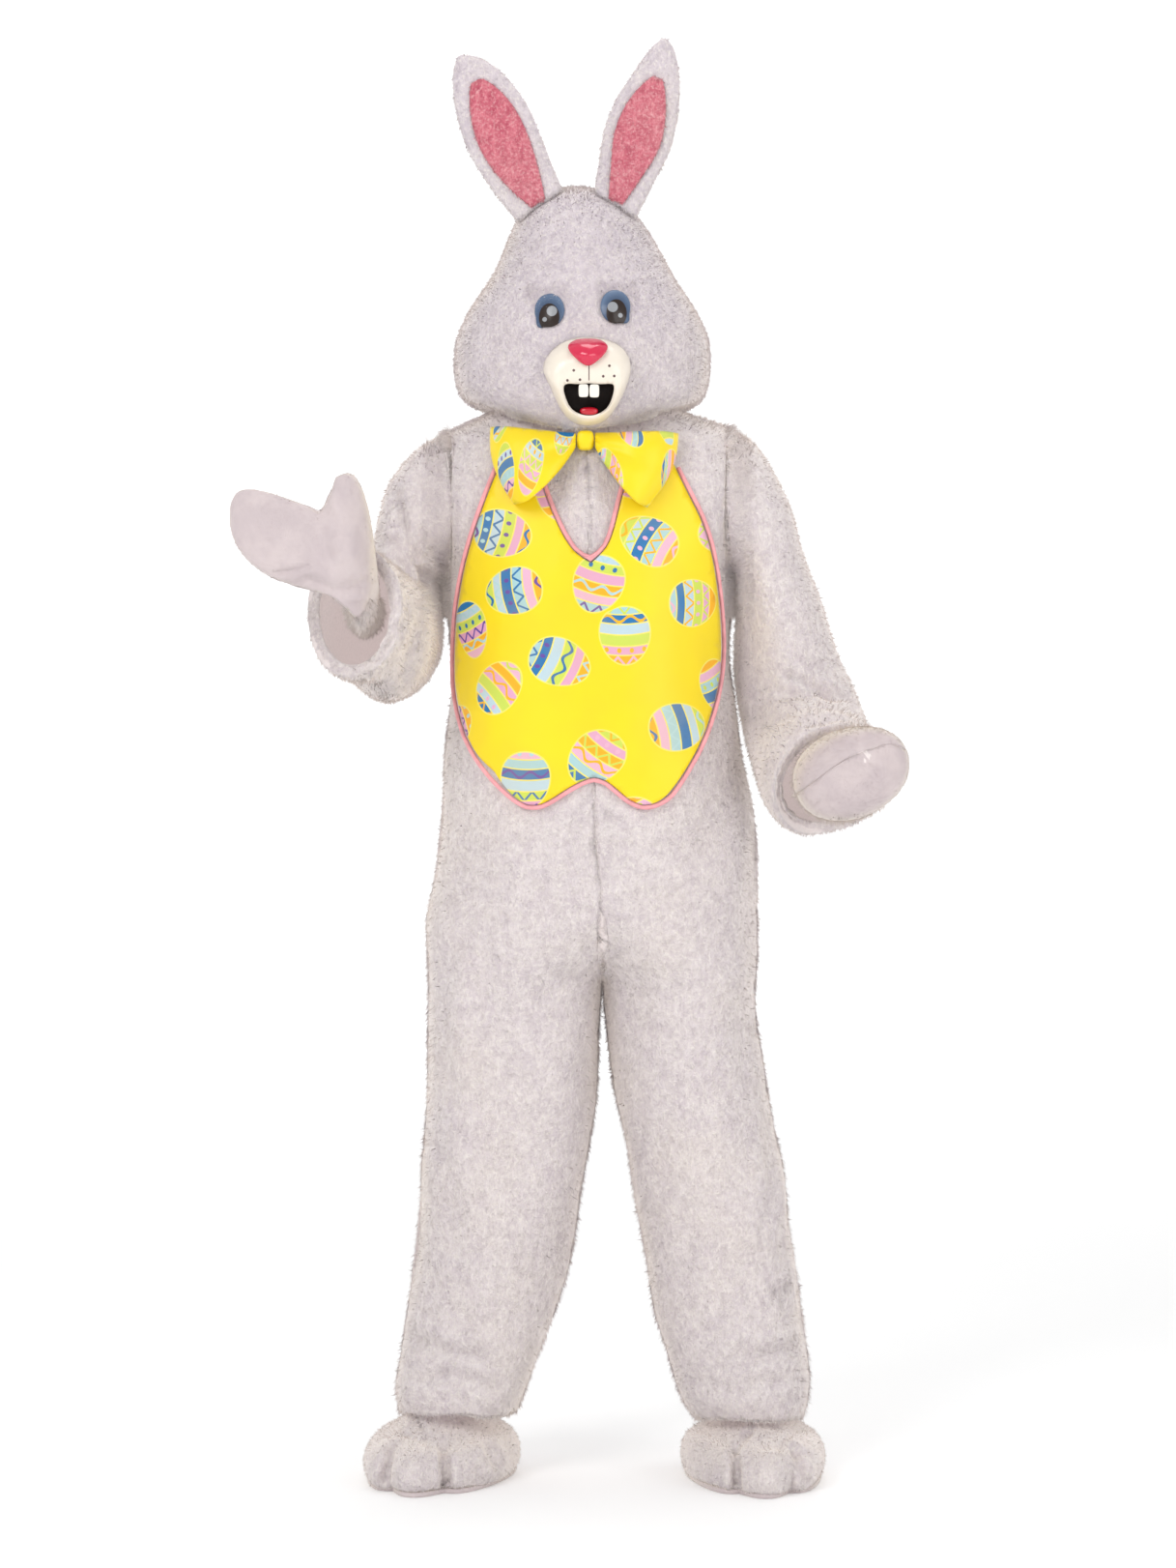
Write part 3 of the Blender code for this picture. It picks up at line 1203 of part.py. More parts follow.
def face_pieces(head):
    # The eyes, the muzzle with its mouth, and the nose, each moved back onto the head.
    front = [head[FRONT]]
    face = joined(list(head.values())).surface()
    pieces = []
    for side in (RIGHT, LEFT):
        x, z = EYE_CENTRES[side]
        outline = [(x + EYE_HALF_WIDTH * math.sin(a), z + EYE_HALF_HEIGHT * math.cos(a))
                   for a in np.linspace(0, 2 * math.pi, EYE_COLUMNS, endpoint=False)]
        eye = dome(f"eye_{SIDE_NAMES[side]}", outline, face, CLEARANCE, EYE_RIM, EYE_CROWN,
                   BLUE_PLASTIC)
        pieces += seated([eye], front, BACKWARD)
    snout, lip = muzzle(face)
    shift = travel(snout, head[FRONT], BACKWARD)
    snout, lip = snout.moved(shift), lip + shift
    lining = mouth_lining(lip)
    nose = dome("nose", round_outline(NOSE_OUTLINE, EYE_COLUMNS), snout.surface(), CLEARANCE,
                NOSE_RIM, NOSE_CROWN, RED_PLASTIC)
    pieces += [snout, lining] + seated([nose], [snout], BACKWARD)
    mouth = [snout, lining]
    upper_lip_y = float(lip[0, 1])
    lower_lip_y = float(lip[MUZZLE_COLUMNS // 2, 1])
    for side in (RIGHT, LEFT):
        x = MOUTH_MIDDLE + side * (TOOTH_SIZE[0] / 2 + TOOTH_GAP)
        tooth = rounded_block(f"tooth_{SIDE_NAMES[side]}", TOOTH_SIZE,
                              (x, upper_lip_y, TOOTH_Z), 5.0, WHITE_PLASTIC)
        pieces += seated([tooth], mouth, (0, 0, 1))
    tongue = rounded_block("tongue", TONGUE_SIZE, (MOUTH_MIDDLE, lower_lip_y, TONGUE_Z), 2.4,
                           RED_PLASTIC)
    return pieces + seated([tongue], mouth, (0, 0, -1))


def main():
    for old in list(bpy.data.objects):
        bpy.data.objects.remove(old, do_unlink=True)
    collection = bpy.data.collections.new(COLLECTION_NAME)
    bpy.context.scene.collection.children.link(collection)

    solids = []
    panels = []
    sleeves = {}
    for side in (RIGHT, LEFT):
        half = suit_half(side)
        sleeves[side] = half[0]
        panels += half[1:]
        solids += half
    suit = joined(panels)
    chest = suit.surface()

    # The head comes down until it rests on the shoulders.
    head = {face: piece.moved((0, 0, HEAD_DROP)) for face, piece in head_panels().items()}
    head = dict(zip(head, seated(list(head.values()), panels, (0, 0, -1))))
    shell = joined(list(head.values()))
    solids += list(head.values())
    for side in (RIGHT, LEFT):
        piece, foot_way = ear(side, outer_skin(head.values()))
        piece = piece.moved(travel(piece, shell, foot_way))
        lining = ear_lining(side, piece.surface())
        solids += [piece, lining.moved(travel(lining, piece, BACKWARD))]
    solids += face_pieces(head)

    # The waistcoat front, its piping, and the bow tie laid on them.
    bib_solid, plan = bib(chest)
    front = [bib_solid] + [piping(name, path, chest)
                           for name, path in piping_paths(plan).items()]
    front = seated(front, panels, BACKWARD)
    knot_y = on_chest(chest, *KNOT_AT, 0.0)[1] - BOW_STAND_OFF - KNOT_FORWARD
    knot = rounded_block("bow_knot", KNOT_SIZE, (KNOT_AT[0], knot_y, KNOT_AT[1]), 3.5,
                         YELLOW_SATIN)
    bow = [bow_loop(side, chest) for side in (RIGHT, LEFT)] + [knot]
    solids += front + seated(bow, panels + front + list(head.values()), BACKWARD)

    solids += seated(open_mitt(), [sleeves[RIGHT]], OPEN_MITT_WAY)
    solids += seated(fist(), [sleeves[LEFT]], FIST_WAY)
    for side in (RIGHT, LEFT):
        upper, sole = shoe_cover(side)
        shift = travel(upper, suit, BACKWARD)
        solids += [upper.moved(shift), sole.moved(shift)]

    for solid in solids:
        make_object(solid, collection)


main()
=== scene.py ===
# Looks of the plush bunny costume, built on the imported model.
import math

import bmesh
import bpy
import numpy as np
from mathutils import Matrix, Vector
from mathutils.bvhtree import BVHTree


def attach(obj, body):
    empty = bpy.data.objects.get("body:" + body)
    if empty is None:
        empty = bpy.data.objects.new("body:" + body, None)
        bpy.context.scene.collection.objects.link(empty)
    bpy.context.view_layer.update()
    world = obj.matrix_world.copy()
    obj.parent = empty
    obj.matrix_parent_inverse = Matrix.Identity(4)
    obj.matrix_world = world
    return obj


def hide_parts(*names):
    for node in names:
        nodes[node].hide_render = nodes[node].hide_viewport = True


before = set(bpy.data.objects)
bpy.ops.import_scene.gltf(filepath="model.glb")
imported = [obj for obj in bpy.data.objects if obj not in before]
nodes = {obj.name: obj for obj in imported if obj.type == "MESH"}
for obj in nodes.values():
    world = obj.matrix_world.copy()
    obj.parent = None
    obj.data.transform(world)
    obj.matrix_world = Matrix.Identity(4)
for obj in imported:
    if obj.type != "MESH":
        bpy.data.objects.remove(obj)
scene = bpy.context.scene
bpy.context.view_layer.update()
print("frame loaded:", len(nodes), "nodes")


# Camera

view = {"place": (0, -6, -0.30), "aim": (0, 0, -0.50), "lens": 99.4}
cameraData = bpy.data.cameras.new("camera")
cameraData.lens = view["lens"]
cameraData.sensor_width = 36
cameraData.clip_end = 60
camera = bpy.data.objects.new("camera", cameraData)
camera.location = view["place"]
camera.rotation_euler = (Vector(view["aim"]) - Vector(view["place"])).to_track_quat(
    "-Z", "Y").to_euler()
scene.collection.objects.link(camera)
scene.camera = camera
scene.view_settings.view_transform = "Standard"  # keeps the print's yellow clear


# Shader maths: a wire is one socket, and sums on it add Math nodes

class Wire:
    def __init__(self, tree, socket=None):
        self.tree = tree
        self.socket = socket

    def node(self, kind, settings=None, values=None, output=0):
        made = self.tree.nodes.new(kind)
        for name, value in (settings or {}).items():
            if name == "stops":
                ramp = made.color_ramp
                while len(ramp.elements) < len(value):
                    ramp.elements.new(0.5)
                for element, (place, colour) in zip(ramp.elements, value):
                    element.position = place
                    element.color = (*colour, 1)
            elif name == "steps":
                made.color_ramp.interpolation = value
            else:
                setattr(made, name, value)
        for name, value in (values or {}).items():
            if isinstance(value, Wire):
                self.tree.links.new(value.socket, made.inputs[name])
            else:
                made.inputs[name].default_value = value
        return Wire(self.tree, made.outputs[output])

    def maths(self, operation, *values):
        return self.node("ShaderNodeMath", {"operation": operation}, dict(enumerate(values)))

    def __add__(self, other):
        return self.maths("ADD", self, other)

    def __mul__(self, other):
        return self.maths("MULTIPLY", self, other)

    def __sub__(self, other):
        return self.maths("SUBTRACT", self, other)

    def __rsub__(self, other):
        return self.maths("SUBTRACT", other, self)

    def __truediv__(self, other):
        return self.maths("DIVIDE", self, other)

    def __pow__(self, other):
        return self.maths("POWER", self, other)

    def __lt__(self, other):
        return self.maths("LESS_THAN", self, other)

    def __gt__(self, other):
        return self.maths("GREATER_THAN", self, other)

    def __abs__(self):
        return self.maths("ABSOLUTE", self)

    __radd__ = __add__
    __rmul__ = __mul__

    def sin(self):
        return self.maths("SINE", self)

    def cos(self):
        return self.maths("COSINE", self)

    def root(self):
        return self.maths("SQRT", self)

    def part(self):
        return self.maths("FRACT", self)

    def smaller(self, other):
        return self.maths("MINIMUM", self, other)

    def larger(self, other):
        return self.maths("MAXIMUM", self, other)

    def soft(self, low, high):
        # 0 below low and 1 above high, with a smooth way between
        return self.node("ShaderNodeMapRange", {"interpolation_type": "SMOOTHSTEP"},
                         {"Value": self, "From Min": low, "From Max": high})

    def split(self):
        return [self.node("ShaderNodeSeparateXYZ", {}, {0: self}, k) for k in range(3)]

    def blend(self, first, second):
        # colours, by this wire's value
        first, second = (v if isinstance(v, Wire) else (*v, 1) for v in (first, second))
        return self.node("ShaderNodeMix", {"data_type": "RGBA"}, {0: self, 6: first, 7: second}, 2)

    def stretch(self, scale):
        return self.node("ShaderNodeVectorMath", {"operation": "MULTIPLY"}, {0: self, 1: scale})

    def noise(self, scale, detail=2.0, roughness=0.5):
        return self.node("ShaderNodeTexNoise", {}, {
            "Vector": self, "Scale": scale, "Detail": detail, "Roughness": roughness})

    def bump(self, strength, distance):
        return self.node("ShaderNodeBump", {}, {
            "Height": self, "Strength": strength, "Distance": distance})


def newMaterial(name, fixed):
    # a Principled material, with the sockets that are the same all over
    material = bpy.data.materials.new(name)
    material.use_nodes = True
    shader = material.node_tree.nodes["Principled BSDF"]
    for socket, value in fixed.items():
        shader.inputs[socket].default_value = value
    wire = Wire(material.node_tree)
    place = wire.node("ShaderNodeTexCoord", output=3)
    return material, shader, place


def plug(shader, socket, wire):
    wire.tree.links.new(wire.socket, shader.inputs[socket])


# Finishes

furLook = {
    "light": (0.815, 0.750, 0.735), "shade": (0.685, 0.610, 0.630), "cream": (0.85, 0.775, 0.69),
    "tip": (0.90, 0.845, 0.79), "clump": 60, "strand": 420, "speck": 190, "through": 0.16,
}


def sideLightMask(place):
    # 1 where the surface is turned to the side, 0 where it faces front or back; the painted sheen
    # and glow on the sides follow it
    facing = place.node("ShaderNodeTexCoord", output=1).split()[1]
    return (1 - abs(facing)).soft(0.35, 0.95)


def furFinish(name, look, sheen, ripple=None):
    material, shader, place = newMaterial(name, {
        "Roughness": 0.92, "Sheen Weight": sheen, "Sheen Roughness": 0.55,
        "Specular IOR Level": 0.15, "Emission Strength": look["through"]})
    clump = place.stretch((1, 1, 0.7)).noise(look["clump"], 3, 0.6)
    strand = place.stretch((1, 1, 0.25)).noise(look["strand"], 3, 0.7)
    speck = place.noise(look["speck"], 3, 0.75)
    broad = place.noise(6, 2, 0.5)
    tone = clump.soft(0.30, 0.62).blend(look["shade"], look["light"])
    # painted sheen: the sides are painted creamier and lighter; broad noise also adds cream at
    # random
    warmthAndSideSheen = (broad.soft(0.45, 0.75) * 0.4 + sideLightMask(place) * 0.6).smaller(1.0)
    tone = warmthAndSideSheen.blend(tone, look["cream"])
    tone = (speck.soft(0.50, 0.62) * 0.75).blend(tone, look["tip"])
    tone = ((1 - speck.soft(0.36, 0.46)) * 0.55).blend(tone, look["shade"])
    plug(shader, "Base Color", (strand.soft(0.35, 0.7) * 0.5 + 0.5).blend(look["shade"], tone))
    height = strand * 0.6 + clump * 1.0 + speck * 1.2
    if ripple:
        height = height + place.stretch(ripple).noise(1.0, 1) * 6
    plug(shader, "Normal", height.bump(0.6, 0.004))
    # painted glow on the sides of the pile, standing in for light that would come through it where
    # it is seen from its side
    plug(shader, "Emission Color", (sideLightMask(place) ** 2).blend((0, 0, 0), look["tip"]))
    return material


whiteFur = furFinish("white fur", furLook, 0.35)
headLook = dict(furLook, light=(0.765, 0.695, 0.715), shade=(0.63, 0.56, 0.605))
headFur = furFinish("head fur", headLook, 0.35)
pinkLook = {
    "light": (0.78, 0.25, 0.30), "shade": (0.52, 0.09, 0.14), "cream": (0.86, 0.42, 0.43),
    "tip": (0.90, 0.50, 0.51), "clump": 90, "strand": 500, "speck": 260, "through": 0.0,
}
pinkFur = furFinish("pink short fur", pinkLook, 0.3, (14, 10, 38))


def napFinish():
    # the short smooth pile of the mitts and soles
    look = {"light": (0.64, 0.555, 0.555), "shade": (0.57, 0.49, 0.50), "edge": (0.78, 0.70, 0.62)}
    material, shader, place = newMaterial("short nap", {
        "Roughness": 0.85, "Sheen Weight": 0.4, "Sheen Roughness": 0.4,
        "Specular IOR Level": 0.2})
    swirl = place.noise(26, 3, 0.6)
    grain = place.noise(900, 2, 0.6)
    tone = swirl.soft(0.32, 0.68).blend(look["shade"], look["light"])
    # painted sheen: the sides of the nap are painted lighter and creamier
    plug(shader, "Base Color", (sideLightMask(place) * 0.8).blend(tone, look["edge"]))
    plug(shader, "Normal", (grain * 0.5 + swirl * 0.5).bump(0.35, 0.002))
    return material


shortNap = napFinish()


def backingFinish():
    # the knit back of the plush, seen inside; it glows a little, a painted glow that stands in for
    # light through the cloth
    tone = (0.62, 0.56, 0.55)
    material, shader, place = newMaterial("knit backing", {
        "Roughness": 0.9, "Specular IOR Level": 0.15, "Emission Color": (*tone, 1),
        "Emission Strength": 0.40})
    knit = place.stretch((1, 1, 0.5)).noise(500, 1)
    plug(shader, "Base Color", knit.soft(0.3, 0.7).blend([c * 0.9 for c in tone], tone))
    plug(shader, "Normal", knit.bump(0.3, 0.001))
    return material


knitBacking = backingFinish()


# The print: decorated eggs of our own, on a slanted grid, each shifted and turned at random
printLook = {
    "slant": 0.42, "cell": (0.096, 0.108), "jitter": 0.42, "egg": (0.0325, 0.0405),
    "ground": (0.95, 0.72, 0.004), "bands": [0.30, 0.62, 0.98, 1.36, 1.66],
    "colours": [(0.38, 0.62, 0.66), (0.76, 0.38, 0.58), (0.003, 0.17, 0.44), (0.95, 0.44, 0.01),
                (0.50, 0.66, 0.74), (0.80, 0.46, 0.62), (0.60, 0.72, 0.10)],
    "marks": [(0.003, 0.16, 0.42), (0.95, 0.46, 0.01), (0.11, 0.05, 0.36), (0.80, 0.44, 0.62),
              (0.42, 0.66, 0.70), (0.60, 0.72, 0.10)],
    "rim": (0.93, 0.80, 0.16),
}


def palette(place, colours, pick):
    # one of the colours, by a value from 0 to 1
    stops = [(k / len(colours), colour) for k, colour in enumerate(colours)]
    return place.node("ShaderNodeValToRGB", {"stops": stops, "steps": "CONSTANT"}, {0: pick})


def eggPrint(place, look):
    cellX, cellZ = look["cell"]
    flatX, flatZ = place.split()[:2]
    slantX, slantZ = math.cos(look["slant"]), math.sin(look["slant"])
    across = flatX * slantX + flatZ * slantZ
    up = flatZ * slantX - flatX * slantZ
    spot = place.node("ShaderNodeCombineXYZ", {}, {0: across / cellX, 1: up / cellZ})
    kind = {"feature": "F1", "voronoi_dimensions": "2D"}
    values = {"Vector": spot, "Scale": 1.0, "Randomness": look["jitter"]}
    chance = place.node("ShaderNodeTexVoronoi", kind, values, 1)
    middle = place.node("ShaderNodeTexVoronoi", kind, values, 2)
    first = place.node("ShaderNodeSeparateColor", {}, {0: chance})
    second = Wire(place.tree, first.socket.node.outputs[1])
    third = Wire(place.tree, first.socket.node.outputs[2])
    middleX, middleZ = middle.split()[:2]
    dx = across - middleX * cellX
    dz = up - middleZ * cellZ
    turn = first * 6.3
    right = dx * turn.cos() + dz * turn.sin()
    rise = dz * turn.cos() - dx * turn.sin()
    u = right / look["egg"][0]
    v = rise / look["egg"][1]
    reach = (u * u * (1 + 0.26 * v) + v * v).root()
    level = v + 1 + u * u * 0.10
    band = (level > look["bands"][0]) + 0.0
    edge = abs(level - look["bands"][0])
    for height in look["bands"][1:]:
        band = band + (level > height)
        edge = edge.smaller(abs(level - height))
    colour = palette(place, look["colours"], (band * 0.286 + second * 5.0).part())
    mark = palette(place, look["marks"], (band * 0.333 + third * 4.0).part())
    saw = abs((u * 1.7).part() - 0.5) * 0.62
    centre = level - 0.80 - (band - 2) * 0.35
    zigzag = abs(centre - saw + 0.14) < 0.055
    wave = abs(centre - (u * 7.5).sin() * 0.10) < 0.050
    dotX = (u * 2.1 + band * 0.5).part() - 0.5
    dots = ((dotX * dotX * 0.226 + centre * centre).root() < 0.085)
    style = (third * 3.1 + band * 0.41).part()
    motif = (style < 0.27) * zigzag + (style > 0.27) * (style < 0.50) * wave
    motif = motif + (style > 0.50) * (style < 0.72) * dots
    face = motif.blend(colour, mark)
    face = (edge < 0.022).blend(face, look["rim"])
    face = (reach > 0.95).blend(face, look["rim"])
    return (reach < 1.0).blend(look["ground"], face)


def satinFinish(name, ground, crumple):
    material, shader, place = newMaterial(name, {
        "Roughness": 0.42, "Sheen Weight": 0.25, "Sheen Roughness": 0.3,
        "Specular IOR Level": 0.45})
    if ground is None:
        flat = place.node("ShaderNodeTexCoord", output=2)
        colour = eggPrint(flat, printLook)
        plug(shader, "Base Color", (place.noise(14, 2).soft(0.3, 0.7) * 0.16).blend(
            colour, (0.70, 0.46, 0.03)))
    else:
        plug(shader, "Base Color", place.noise(60, 2).soft(0.3, 0.7).blend(
            [c * 0.86 for c in ground], ground))
    weave = place.stretch((1, 1, 0.3)).noise(1500, 1)
    folds = place.stretch((1, 1, 0.5)).noise(crumple, 2, 0.45)
    plug(shader, "Normal", (weave * 0.04 + folds * 1.6).bump(0.30, 0.006))
    return material


printedSatin = satinFinish("printed satin", None, 16)
pinkSatin = satinFinish("pink satin", (0.93, 0.40, 0.43), 120)


# The moulded face: painted marks are places in the front view, in metres
faceMarks = {
    "line": (0.0013, 0.0460, 0.0700),  # the groove under the nose: x, lowest and highest z
    "whiskers": [(-0.0190, 0.0590), (-0.0275, 0.0460), (-0.0107, 0.0468), (0.0285, 0.0653),
                 (0.0203, 0.0514), (0.0351, 0.0518)],
    "dot": 0.0018,
}


def plasticFinish(name, colour, rough, coat, marks=None):
    material, shader, place = newMaterial(name, {
        "Roughness": rough, "Specular IOR Level": 0.5 * min(1, coat * 3 + 0.3),
        "Coat Weight": coat, "Coat Roughness": 0.12})
    stain = place.noise(35, 3, 0.6).soft(0.35, 0.75) * 0.35
    tone = stain.blend(colour, [c * 0.90 for c in colour])
    if marks:
        x, _, z = place.split()
        lineX, low, high = marks["line"]
        ink = (abs(x - lineX) < 0.0007) * (z > low) * (z < high)
        for dotX, dotZ in marks["whiskers"]:
            ink = ink.larger(((x - dotX) ** 2.0 + (z - dotZ) ** 2.0).root() < marks["dot"])
        tone = ink.blend(tone, (0.10, 0.05, 0.05))
    plug(shader, "Base Color", tone)
    plug(shader, "Normal", place.noise(90, 2).bump(0.04, 0.002))
    return material


muzzlePlastic = plasticFinish("cream plastic", (0.86, 0.78, 0.67), 0.32, 0.25, faceMarks)
nosePlastic = plasticFinish("nose plastic", (0.66, 0.014, 0.065), 0.16, 0.35)
tonguePlastic = plasticFinish("tongue plastic", (0.56, 0.006, 0.022), 0.22, 0.35)
toothPlastic = plasticFinish("tooth plastic", (0.88, 0.84, 0.76), 0.25, 0.25)
mouthPlastic = plasticFinish("mouth plastic", (0.010, 0.006, 0.005), 0.6, 0.0)


def eyeFinish(name, look):
    material, shader, place = newMaterial(name, {
        "Roughness": 0.32, "Specular IOR Level": 0.35, "Coat Weight": 0.12,
        "Coat Roughness": 0.08})
    x, _, z = place.split()

    def disc(middle, size):
        across = (x - middle[0]) / size[0]
        up = (z - middle[1]) / size[1]
        return (across * across + up * up).root()

    ring = disc(look["pupil"], look["size"])
    tone = ring.soft(1.0, 1.7).blend((0.06, 0.095, 0.17), (0.115, 0.175, 0.28))
    tone = (ring < 1.0).blend(tone, (0.020, 0.010, 0.007))
    for glint, size in look["glints"]:
        tone = (disc(glint, (size, size)) < 1.0).blend(tone, (0.30, 0.31, 0.33))
    plug(shader, "Base Color", tone)
    return material


print("finishes made")


# Cloth skins: a CAD node's mesh, made finer and given soft folds

coreLines = {  # down the middle of each hollow, to tell the outside from the inside
    "right": [(0, 0, 0.03), (0, 0, -0.62), (-0.09, 0, -0.78), (-0.11, 0, -0.95),
              (-0.135, 0, -1.12), (-0.18, 0, -1.38)],
    "left": [(0, 0, 0.03), (0, 0, -0.62), (0.11, 0, -0.78), (0.14, 0, -0.95),
             (0.175, 0, -1.12), (0.225, 0, -1.39)],
    "sleeve_right": [(-0.2245, 0, -0.13), (-0.249, -0.003, -0.206), (-0.2525, -0.012, -0.255),
                     (-0.256, -0.04, -0.29), (-0.264, -0.085, -0.30), (-0.288, -0.175, -0.28),
                     (-0.312, -0.238, -0.263)],
    "sleeve_left": [(0.2255, 0, -0.13), (0.256, 0, -0.2425), (0.286, -0.003, -0.37),
                    (0.297, -0.018, -0.412), (0.314, -0.092, -0.462), (0.332, -0.16, -0.487)],
    "head": [(-0.008, 0, -0.02), (-0.008, 0, 0.10), (-0.012, 0, 0.20), (-0.014, 0, 0.24)],
    "mitt_right": [(-0.298, -0.182, -0.265), (-0.301, -0.291, -0.192), (-0.317, -0.328, -0.170),
                   (-0.350, -0.338, -0.186), (-0.456, -0.343, -0.144), (-0.467, -0.343, -0.140)],
    "mitt_left": [(0.334, -0.12, -0.48), (0.345, -0.218, -0.481), (0.366, -0.29, -0.460)],
    "shoe_right": [(-0.19, -0.06, -1.43), (-0.197, 0.06, -1.43)],
    "shoe_left": [(0.2285, -0.06, -1.43), (0.2285, 0.06, -1.43)],
}


def outwardness(points, normals, line):
    # above 0 where a point's normal leads away from the line
    best = np.full(len(points), 1e9)
    away = np.zeros(len(points))
    line = np.array(line, float)
    for start, end in zip(line, line[1:]):
        step = end - start
        share = np.clip((points - start) @ step / (step @ step), 0, 1)
        offset = points - (start + share[:, None] * step)
        far = np.linalg.norm(offset, axis=1)
        closer = far < best
        best[closer] = far[closer]
        away[closer] = (offset * normals).sum(axis=1)[closer] / np.maximum(far[closer], 1e-6)
    return away


# Soft drape: slow waves that run mostly round the body, then the creases that show
waves = {"count": 9, "shortest": 0.10, "longest": 0.32, "height": 0.0016, "seed": 4}


def drape(points, strength):
    luck = np.random.default_rng(waves["seed"])
    total = np.zeros(len(points))
    for _ in range(waves["count"]):
        way = luck.normal(size=3) * (1, 1, 0.35)
        way /= np.linalg.norm(way)
        length = luck.uniform(waves["shortest"], waves["longest"])
        total += np.sin(points @ way * 2 * math.pi / length + luck.uniform(0, 6.3))
    return total * waves["height"] * strength


# How deep the creases go, and the ridge that rises beside each at two half widths
creaseLook = {"depth": 1.3, "ridge": 0.45, "ridgeAt": 2, "turn": 1.6}
# Creases seen from the front: path in X and Z on the plane Y = 0, half width and depth
creases = {
    "sleeve_right": [
        ([(-0.265, -0.097), (-0.250, -0.168), (-0.230, -0.208),
          (-0.200, -0.228), (-0.190, -0.283), (-0.186, -0.351)], 0.007, 0.007),
        ([(-0.265, -0.166), (-0.249, -0.216), (-0.250, -0.268), (-0.282, -0.308)], 0.007, 0.005),
        ([(-0.230, -0.208), (-0.231, -0.251), (-0.247, -0.320), (-0.254, -0.358)], 0.006, 0.006),
        ([(-0.220, -0.243), (-0.212, -0.306)], 0.008, 0.004),
        ([(-0.353, -0.339), (-0.308, -0.347)], 0.006, 0.004),
        ([(-0.346, -0.123), (-0.317, -0.148), (-0.282, -0.164)], 0.01, 0.004),
    ],
    "sleeve_left": [
        ([(0.281, -0.350), (0.314, -0.361), (0.334, -0.370), (0.366, -0.374)], 0.006, 0.007),
        ([(0.273, -0.378), (0.309, -0.371), (0.340, -0.373)], 0.008, 0.004),
        ([(0.305, -0.413), (0.336, -0.410), (0.369, -0.404)], 0.008, 0.004),
        ([(0.211, -0.247), (0.206, -0.271), (0.194, -0.304)], 0.006, 0.007),
        ([(0.364, -0.412), (0.397, -0.424), (0.428, -0.437)], 0.007, 0.004),
        ([(0.223, -0.412), (0.243, -0.421), (0.277, -0.416)], 0.011, 0.004),
    ],
    "right": [
        ([(-0.171, -0.751), (-0.171, -0.905)], 0.013, -0.006),
        ([(-0.247, -1.269), (-0.224, -1.279), (-0.187, -1.295), (-0.145, -1.292)], 0.008, 0.006),
        ([(-0.231, -1.329), (-0.188, -1.321), (-0.139, -1.337)], 0.009, 0.004),
        ([(-0.210, -0.994), (-0.186, -1.061), (-0.191, -1.142)], 0.014, 0.004),
        ([(0.027, -0.539), (0.021, -0.744)], 0.006, 0.003),
        ([(-0.065, -0.646), (-0.011, -0.733), (0.018, -0.753)], 0.012, 0.003),
    ],
    "left": [
        ([(0.251, -0.974), (0.255, -1.056), (0.243, -1.118)], 0.009, 0.006),
        ([(0.261, -1.088), (0.273, -1.155)], 0.009, 0.005),
        ([(0.257, -1.209), (0.285, -1.201), (0.310, -1.209)], 0.008, 0.005),
        ([(0.210, -1.289), (0.239, -1.295), (0.286, -1.284)], 0.009, 0.006),
        ([(0.123, -1.323), (0.183, -1.343), (0.257, -1.332)], 0.01, 0.003),
        ([(0.027, -0.539), (0.021, -0.744)], 0.006, 0.003),
        ([(0.109, -0.646), (0.056, -0.733), (0.025, -0.753)], 0.012, 0.003),
    ],
    "shoe_right": [
        ([(-0.282, -1.466), (-0.278, -1.443), (-0.273, -1.423)], 0.006, 0.006),
        ([(-0.198, -1.484), (-0.199, -1.450), (-0.203, -1.423)], 0.006, 0.007),
        ([(-0.129, -1.450), (-0.143, -1.421)], 0.006, 0.005),
        ([(-0.257, -1.378), (-0.261, -1.405), (-0.231, -1.415)], 0.004, 0.006),
        ([(-0.245, -1.374), (-0.226, -1.410)], 0.004, 0.005),
        ([(-0.226, -1.418), (-0.186, -1.423), (-0.145, -1.407)], 0.007, 0.005),
    ],
    "shoe_left": [
        ([(0.208, -1.488), (0.207, -1.457), (0.204, -1.430)], 0.006, 0.007),
        ([(0.302, -1.469), (0.286, -1.430)], 0.006, 0.006),
        ([(0.157, -1.402), (0.182, -1.413), (0.207, -1.427), (0.227, -1.405)], 0.005, 0.006),
        ([(0.267, -1.427), (0.283, -1.410), (0.299, -1.394)], 0.005, 0.006),
        ([(0.243, -1.423), (0.267, -1.427), (0.310, -1.439)], 0.006, 0.004),
    ],
    "mitt_left": [
        ([(0.381, -0.461), (0.404, -0.484)], 0.005, 0.0012),
        ([(0.334, -0.437), (0.364, -0.445), (0.381, -0.461)], 0.005, 0.0009),
    ],
    "mitt_right": [
        ([(-0.429, -0.207), (-0.407, -0.204), (-0.389, -0.199)], 0.004, 0.003),
        ([(-0.389, -0.217), (-0.353, -0.233), (-0.313, -0.225)], 0.008, 0.004),
        ([(-0.364, -0.123), (-0.353, -0.144), (-0.344, -0.177)], 0.01, 0.003),
    ],
}


def creaseDepth(points, normals, lines):
    # front-facing places only, seen from the camera's place
    total = np.zeros(len(points))
    _, eyeY, eyeZ = view["place"]
    shrink = eyeY / (eyeY - points[:, 1])
    flat = np.stack([points[:, 0] * shrink, eyeZ + (points[:, 2] - eyeZ) * shrink], axis=1)
    for path, width, depth in lines:
        near = np.full(len(points), 1e9)
        for start, end in zip(np.array(path), np.array(path)[1:]):
            step = end - start
            share = np.clip((flat - start) @ step / (step @ step), 0, 1)
            near = np.minimum(near, np.linalg.norm(flat - start - share[:, None] * step, axis=1))
        ridge = np.exp(-((near - creaseLook["ridgeAt"] * width) / width) ** 2)
        groove = np.exp(-(near / width) ** 2) - creaseLook["ridge"] * ridge
        total -= groove * depth * np.clip(-normals[:, 1] * creaseLook["turn"], 0, 1)
    return total * creaseLook["depth"]


